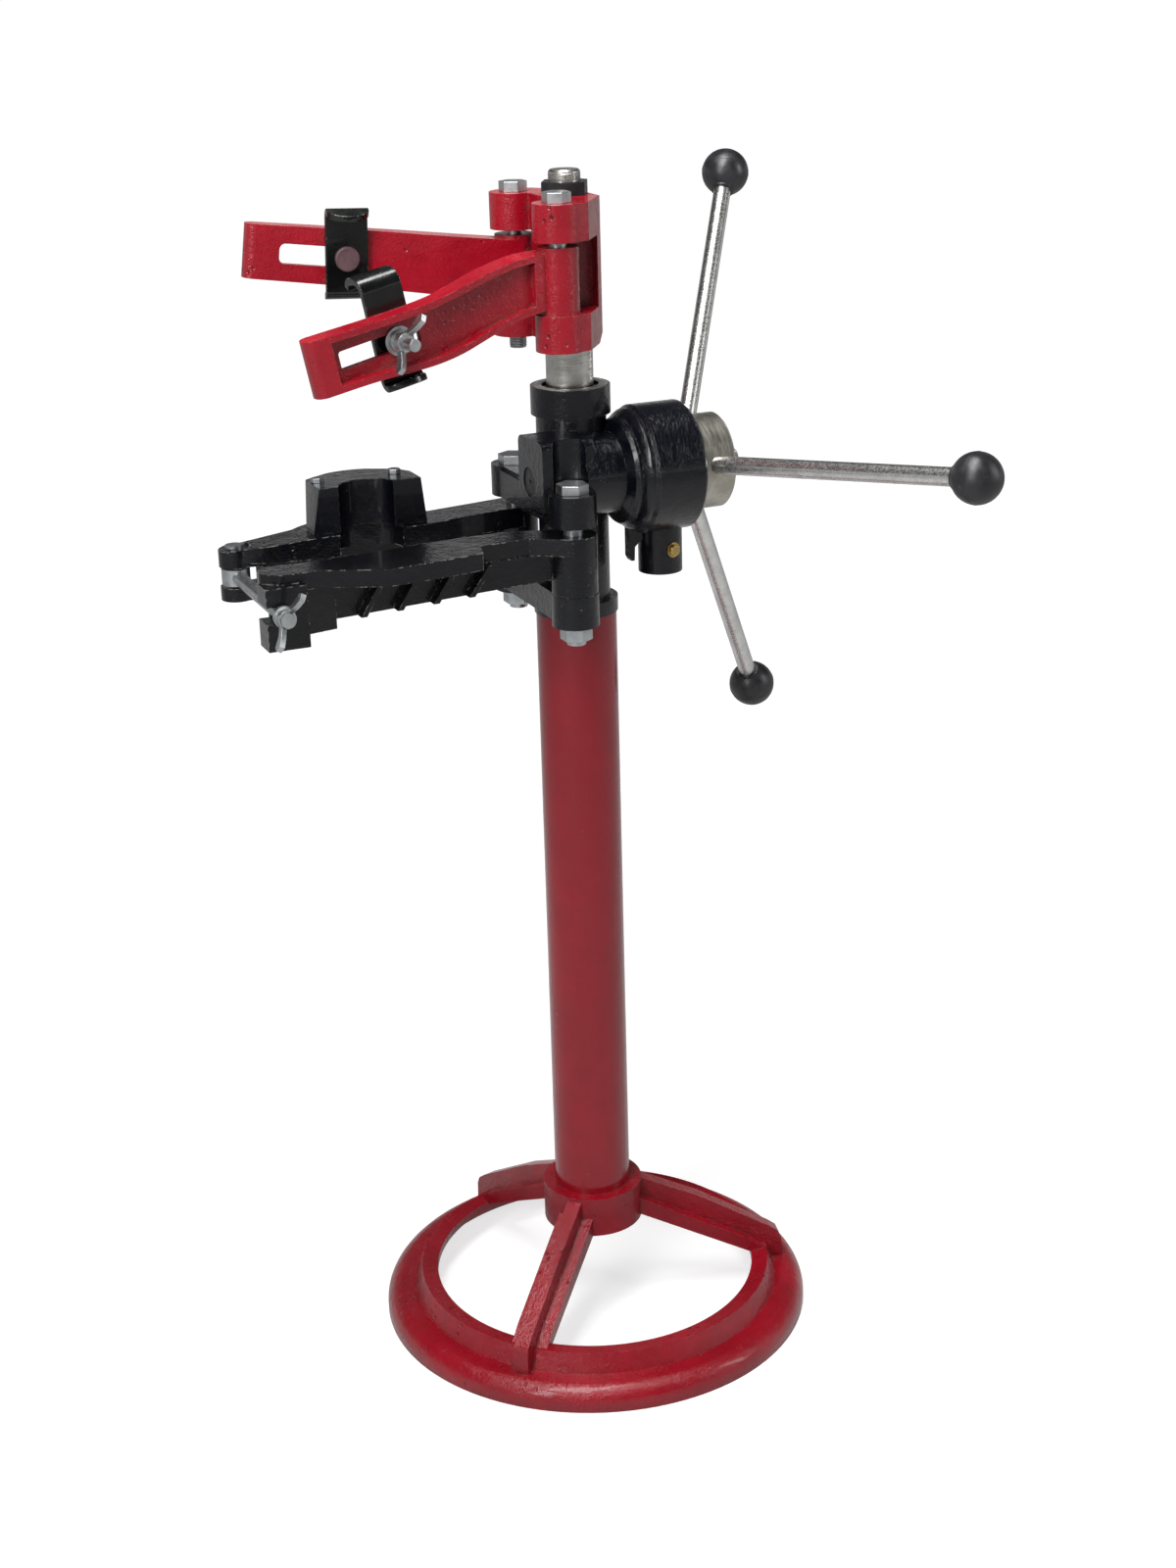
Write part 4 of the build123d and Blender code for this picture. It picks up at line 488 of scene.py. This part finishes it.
def thread(name, body, material, start, axis, radius, length, pitch):
    """Screw thread ridges wound round a plain shank."""
    depth = pitch * 0.28
    turns = length / pitch
    steps = int(turns * THREAD_STEPS)
    bm = bmesh.new()
    corners = ((radius - depth, 0, 0), (radius + depth, 0, pitch * 0.40), (radius - depth, 0, pitch * 0.80))
    section = bm.faces.new([bm.verts.new(corner) for corner in corners])
    bmesh.ops.spin(bm, geom=[section], cent=(0, 0, 0), axis=(0, 0, 1), dvec=(0, 0, (length - pitch) / steps),
                   angle=turns * 2 * math.pi, steps=steps, use_duplicate=False)
    bm.transform(frame_along(start, axis))
    new_piece(name, bm, body, material)


def ring(name, body, material, centre, axis, profile):
    """A full turned ring: the profile's points are radius and height along the axis."""
    bm = bmesh.new()
    points = [bm.verts.new((radius, 0, height)) for radius, height in profile]
    for first, second in zip(points, points[1:] + points[:1]):
        bm.edges.new((first, second))
    bmesh.ops.spin(bm, geom=bm.verts[:] + bm.edges[:], cent=(0, 0, 0), axis=(0, 0, 1), angle=2 * math.pi,
                   steps=RING_STEPS, use_merge=True)
    bm.transform(frame_along(centre, axis))
    for face in bm.faces:
        face.smooth = True
    new_piece(name, bm, body, material)


def around_gear_axis(outward, distance, y):
    return GEAR_AXIS + outward * distance + Vector((0, y, 0))


# Every CAD node gets the finish of its slot, and the copies further down stand for some of them
for node_name, node_object in frame["nodes"].items():
    for index, old in enumerate(list(node_object.data.materials)):
        node_object.data.materials[index] = FINISH_OF_SLOT[old.name.split(".")[0]]
# The shaft and its front bush are blackened, since only their dark ends are seen in the shaft pad
for node_name in ("front_shaft_bush", "pinion_shaft"):
    frame["nodes"][node_name].data.materials[0] = BLACK_OXIDE

# Painted castings, tube and hooks: node, finish and edge radius
for node_name, finish, edge_radius in (
        ("base_ring", RED_CAST, 0.0016), ("upper_bracket", RED_ARM, 0.0012),
        ("upper_arm_near", RED_ARM, 0.0010), ("upper_arm_far", RED_ARM, 0.0010),
        ("column_tube", RED_TUBE, 0.0006)):
    rounded(node_name, finish, edge_radius)
for node_name, finish, edge_radius in (
        ("main_housing", BLACK_CAST, 0.0014), ("lower_arm_near", BLACK_ARM, 0.0010),
        ("lower_arm_far", BLACK_ARM, 0.0012), ("saddle_block", BLACK_CAST, 0.0016),
        ("hook_near", BLACK_HOOK, 0.0008), ("hook_far", BLACK_HOOK, 0.0008)):
    rounded(node_name, finish, edge_radius)

# Fasteners, hub and bar
for node_name in (
        "lower_pivot_bolts", "lower_pivot_nuts", "upper_pivot_bolts", "hook_bolt_near", "hook_washer_near",
        "hook_wing_nut_near", "hook_wing_nut_far", "saddle_bolts", "swing_bolt", "swing_wing_nut", "hub_nut"):
    rounded(node_name, ZINC, edge=0.0004)
rounded("handwheel_hub", NICKEL, edge=0.0006)
rounded("top_nut", BLACK_OXIDE, edge=0.0005)
rounded("rack_bar", BAR_STEEL, edge=0.0003)

# Turned face on the collar, threads and the knobs' seams
face_inner, face_outer = COLLAR_FACE
face_low, face_high = COLLAR_FACE_HEIGHTS
ring("collar_face", "stand", COLLAR_STEEL, (0, 0, COLLAR_TOP), (0, 0, 1),
     [(face_inner, face_low), (face_outer, face_low), (face_outer - COLLAR_FACE_CHAMFER, face_high),
      (face_inner + COLLAR_FACE_CHAMFER, face_high)])
thread("bar_thread", "lift", BAR_STEEL, (0, 0, BAR_NUT_TOP), (0, 0, 1), BAR_THREAD_R,
       BAR_TOP - BAR_TOP_CHAMFER - BAR_NUT_TOP, BAR_THREAD_PITCH)
thread("far_pivot_thread", "lift", BLACK_OXIDE, FAR_BOLT_THREAD, (0, 0, -1), M14_THREAD_R,
       FAR_BOLT_THREAD_LENGTH, FAR_BOLT_THREAD_PITCH)
thread("shaft_end_thread", "wheel", ROD_PLATE, GEAR_AXIS + Vector((0, SHAFT_THREAD_Y, 0)),
       (0, 1, 0), M14_THREAD_R, SHAFT_THREAD_LENGTH, SHAFT_THREAD_PITCH)
seam_root, seam_top = KNOB_R - SEAM_ROOT, KNOB_R + SEAM_PROUD
root_half, top_half = SEAM_HALF_WIDTHS
for number in range(3):
    turn = math.radians(ROD_FIRST + 120 * number)
    outward = Vector((math.cos(turn), 0, math.sin(turn)))
    knob_centre = around_gear_axis(outward, KNOB_CIRCLE, KNOB_Y)
    rod_root = around_gear_axis(outward, ROD_ROOT_R, ROD_ROOT_Y)
    ring("knob_seam_" + str(number + 1), "wheel", KNOB_PLASTIC, knob_centre,
         (knob_centre - rod_root).normalized(),
         [(seam_root, -root_half), (seam_top, -top_half), (seam_top, top_half), (seam_root, root_half)])


# ---------------------------------------------------------------- stage
def make_camera():
    """A standing person's view of the whole machine, from the near side of the jaws."""
    data = bpy.data.cameras.new("camera")
    data.sensor_width = 36
    data.lens = CAMERA_LENS
    data.shift_y = CAMERA_SHIFT_Y
    data.clip_end = 60
    camera = bpy.data.objects.new("camera", data)
    bpy.context.scene.collection.objects.link(camera)
    ahead = CAMERA_AHEAD.normalized()
    level = ahead.cross(Vector((0, 0, 1))).normalized()
    roll = math.radians(CAMERA_ROLL)
    right = (math.cos(roll) * level + math.sin(roll) * ahead.cross(level)).normalized()
    up = -ahead.cross(right).normalized()
    turned = Matrix((right, up, -ahead)).transposed().to_4x4()
    camera.matrix_world = Matrix.Translation(CAMERA_PLACE) @ turned
    bpy.context.scene.camera = camera


def seen_directly(tree, mirror=1.0):
    """1 for the camera's rays, mirror for those metal and glass send on, 0 for scattered light."""
    path = add(tree, "ShaderNodeLightPath").outputs
    mirrored = times(tree, larger(tree, path["Is Glossy Ray"], path["Is Transmission Ray"]), mirror)
    return larger(tree, path["Is Camera Ray"], mirrored)


def make_floor():
    """A wide white floor that keeps the object's shadow."""
    material = bpy.data.materials.new("floor_white")
    material.use_nodes = True
    tree = material.node_tree
    tree.nodes.clear()
    matt = add(tree, "ShaderNodeBsdfDiffuse", {"Color": (*FLOOR_GREY, 1)}).outputs[0]
    away = add(tree, "ShaderNodeVectorMath", {0: object_place(tree)}, operation="LENGTH").outputs["Value"]
    glow = times(tree, seen_directly(tree, FLOOR_IN_METAL), ramp(tree, away, 0.5, 3.5, 0.72, 0.98))
    white = add(tree, "ShaderNodeEmission", {"Strength": glow}).outputs[0]
    both = add(tree, "ShaderNodeAddShader", {0: matt, 1: white}).outputs[0]
    add(tree, "ShaderNodeOutputMaterial", {"Surface": both})
    bm = bmesh.new()
    bmesh.ops.create_grid(bm, x_segments=1, y_segments=1, size=60)
    object_from("floor", bm, material)


def make_world():
    """A backdrop that is white to the camera, graded in metal and dim in scattered light.

    Its height runs from 0 at the horizon to 1 overhead.
    """
    world = bpy.data.worlds.new("studio")
    bpy.context.scene.world = world
    world.use_nodes = True
    tree = world.node_tree
    sky = add(tree, "ShaderNodeTexCoord").outputs["Generated"]
    height = add(tree, "ShaderNodeSeparateXYZ", {0: sky}).outputs["Z"]
    camera_ray = add(tree, "ShaderNodeLightPath").outputs["Is Camera Ray"]
    backdrop = larger(tree, ramp(tree, height, 0.0, 0.22, 0.9, 0.06), camera_ray)
    scattered = ramp(tree, height, 0.05, 0.7, 0.16, 0.08)
    background = tree.nodes["Background"].inputs
    tree.links.new(mix_value(tree, seen_directly(tree), scattered, backdrop), background["Strength"])
    background["Color"].default_value = (1, 1, 1, 1)


def soft_box(name, place, aim_height, width, height, power):
    """An area lamp of a power in watts, aimed at a height on the column's axis."""
    data = bpy.data.lights.new(name, "AREA")
    data.shape = "RECTANGLE"
    data.size = width
    data.size_y = height
    data.energy = power
    lamp = bpy.data.objects.new(name, data)
    bpy.context.scene.collection.objects.link(lamp)
    way = (Vector((0, 0, aim_height)) - Vector(place)).normalized()
    lamp.matrix_world = Matrix.Translation(place) @ way.to_track_quat("-Z", "Y").to_matrix().to_4x4()


make_camera()
make_floor()
make_world()
soft_box("overhead", (0.4, -0.4, 2.6), JAW_HEIGHT, width=0.7, height=2.0, power=72)
soft_box("left_window", (1.7, -2.2, 2.0), CRANK_HEIGHT, width=0.5, height=1.6, power=40)
soft_box("right_window", (1.6, 2.4, 1.8), CRANK_HEIGHT, width=0.4, height=1.6, power=24)
bpy.context.scene.view_settings.view_transform = "Standard"
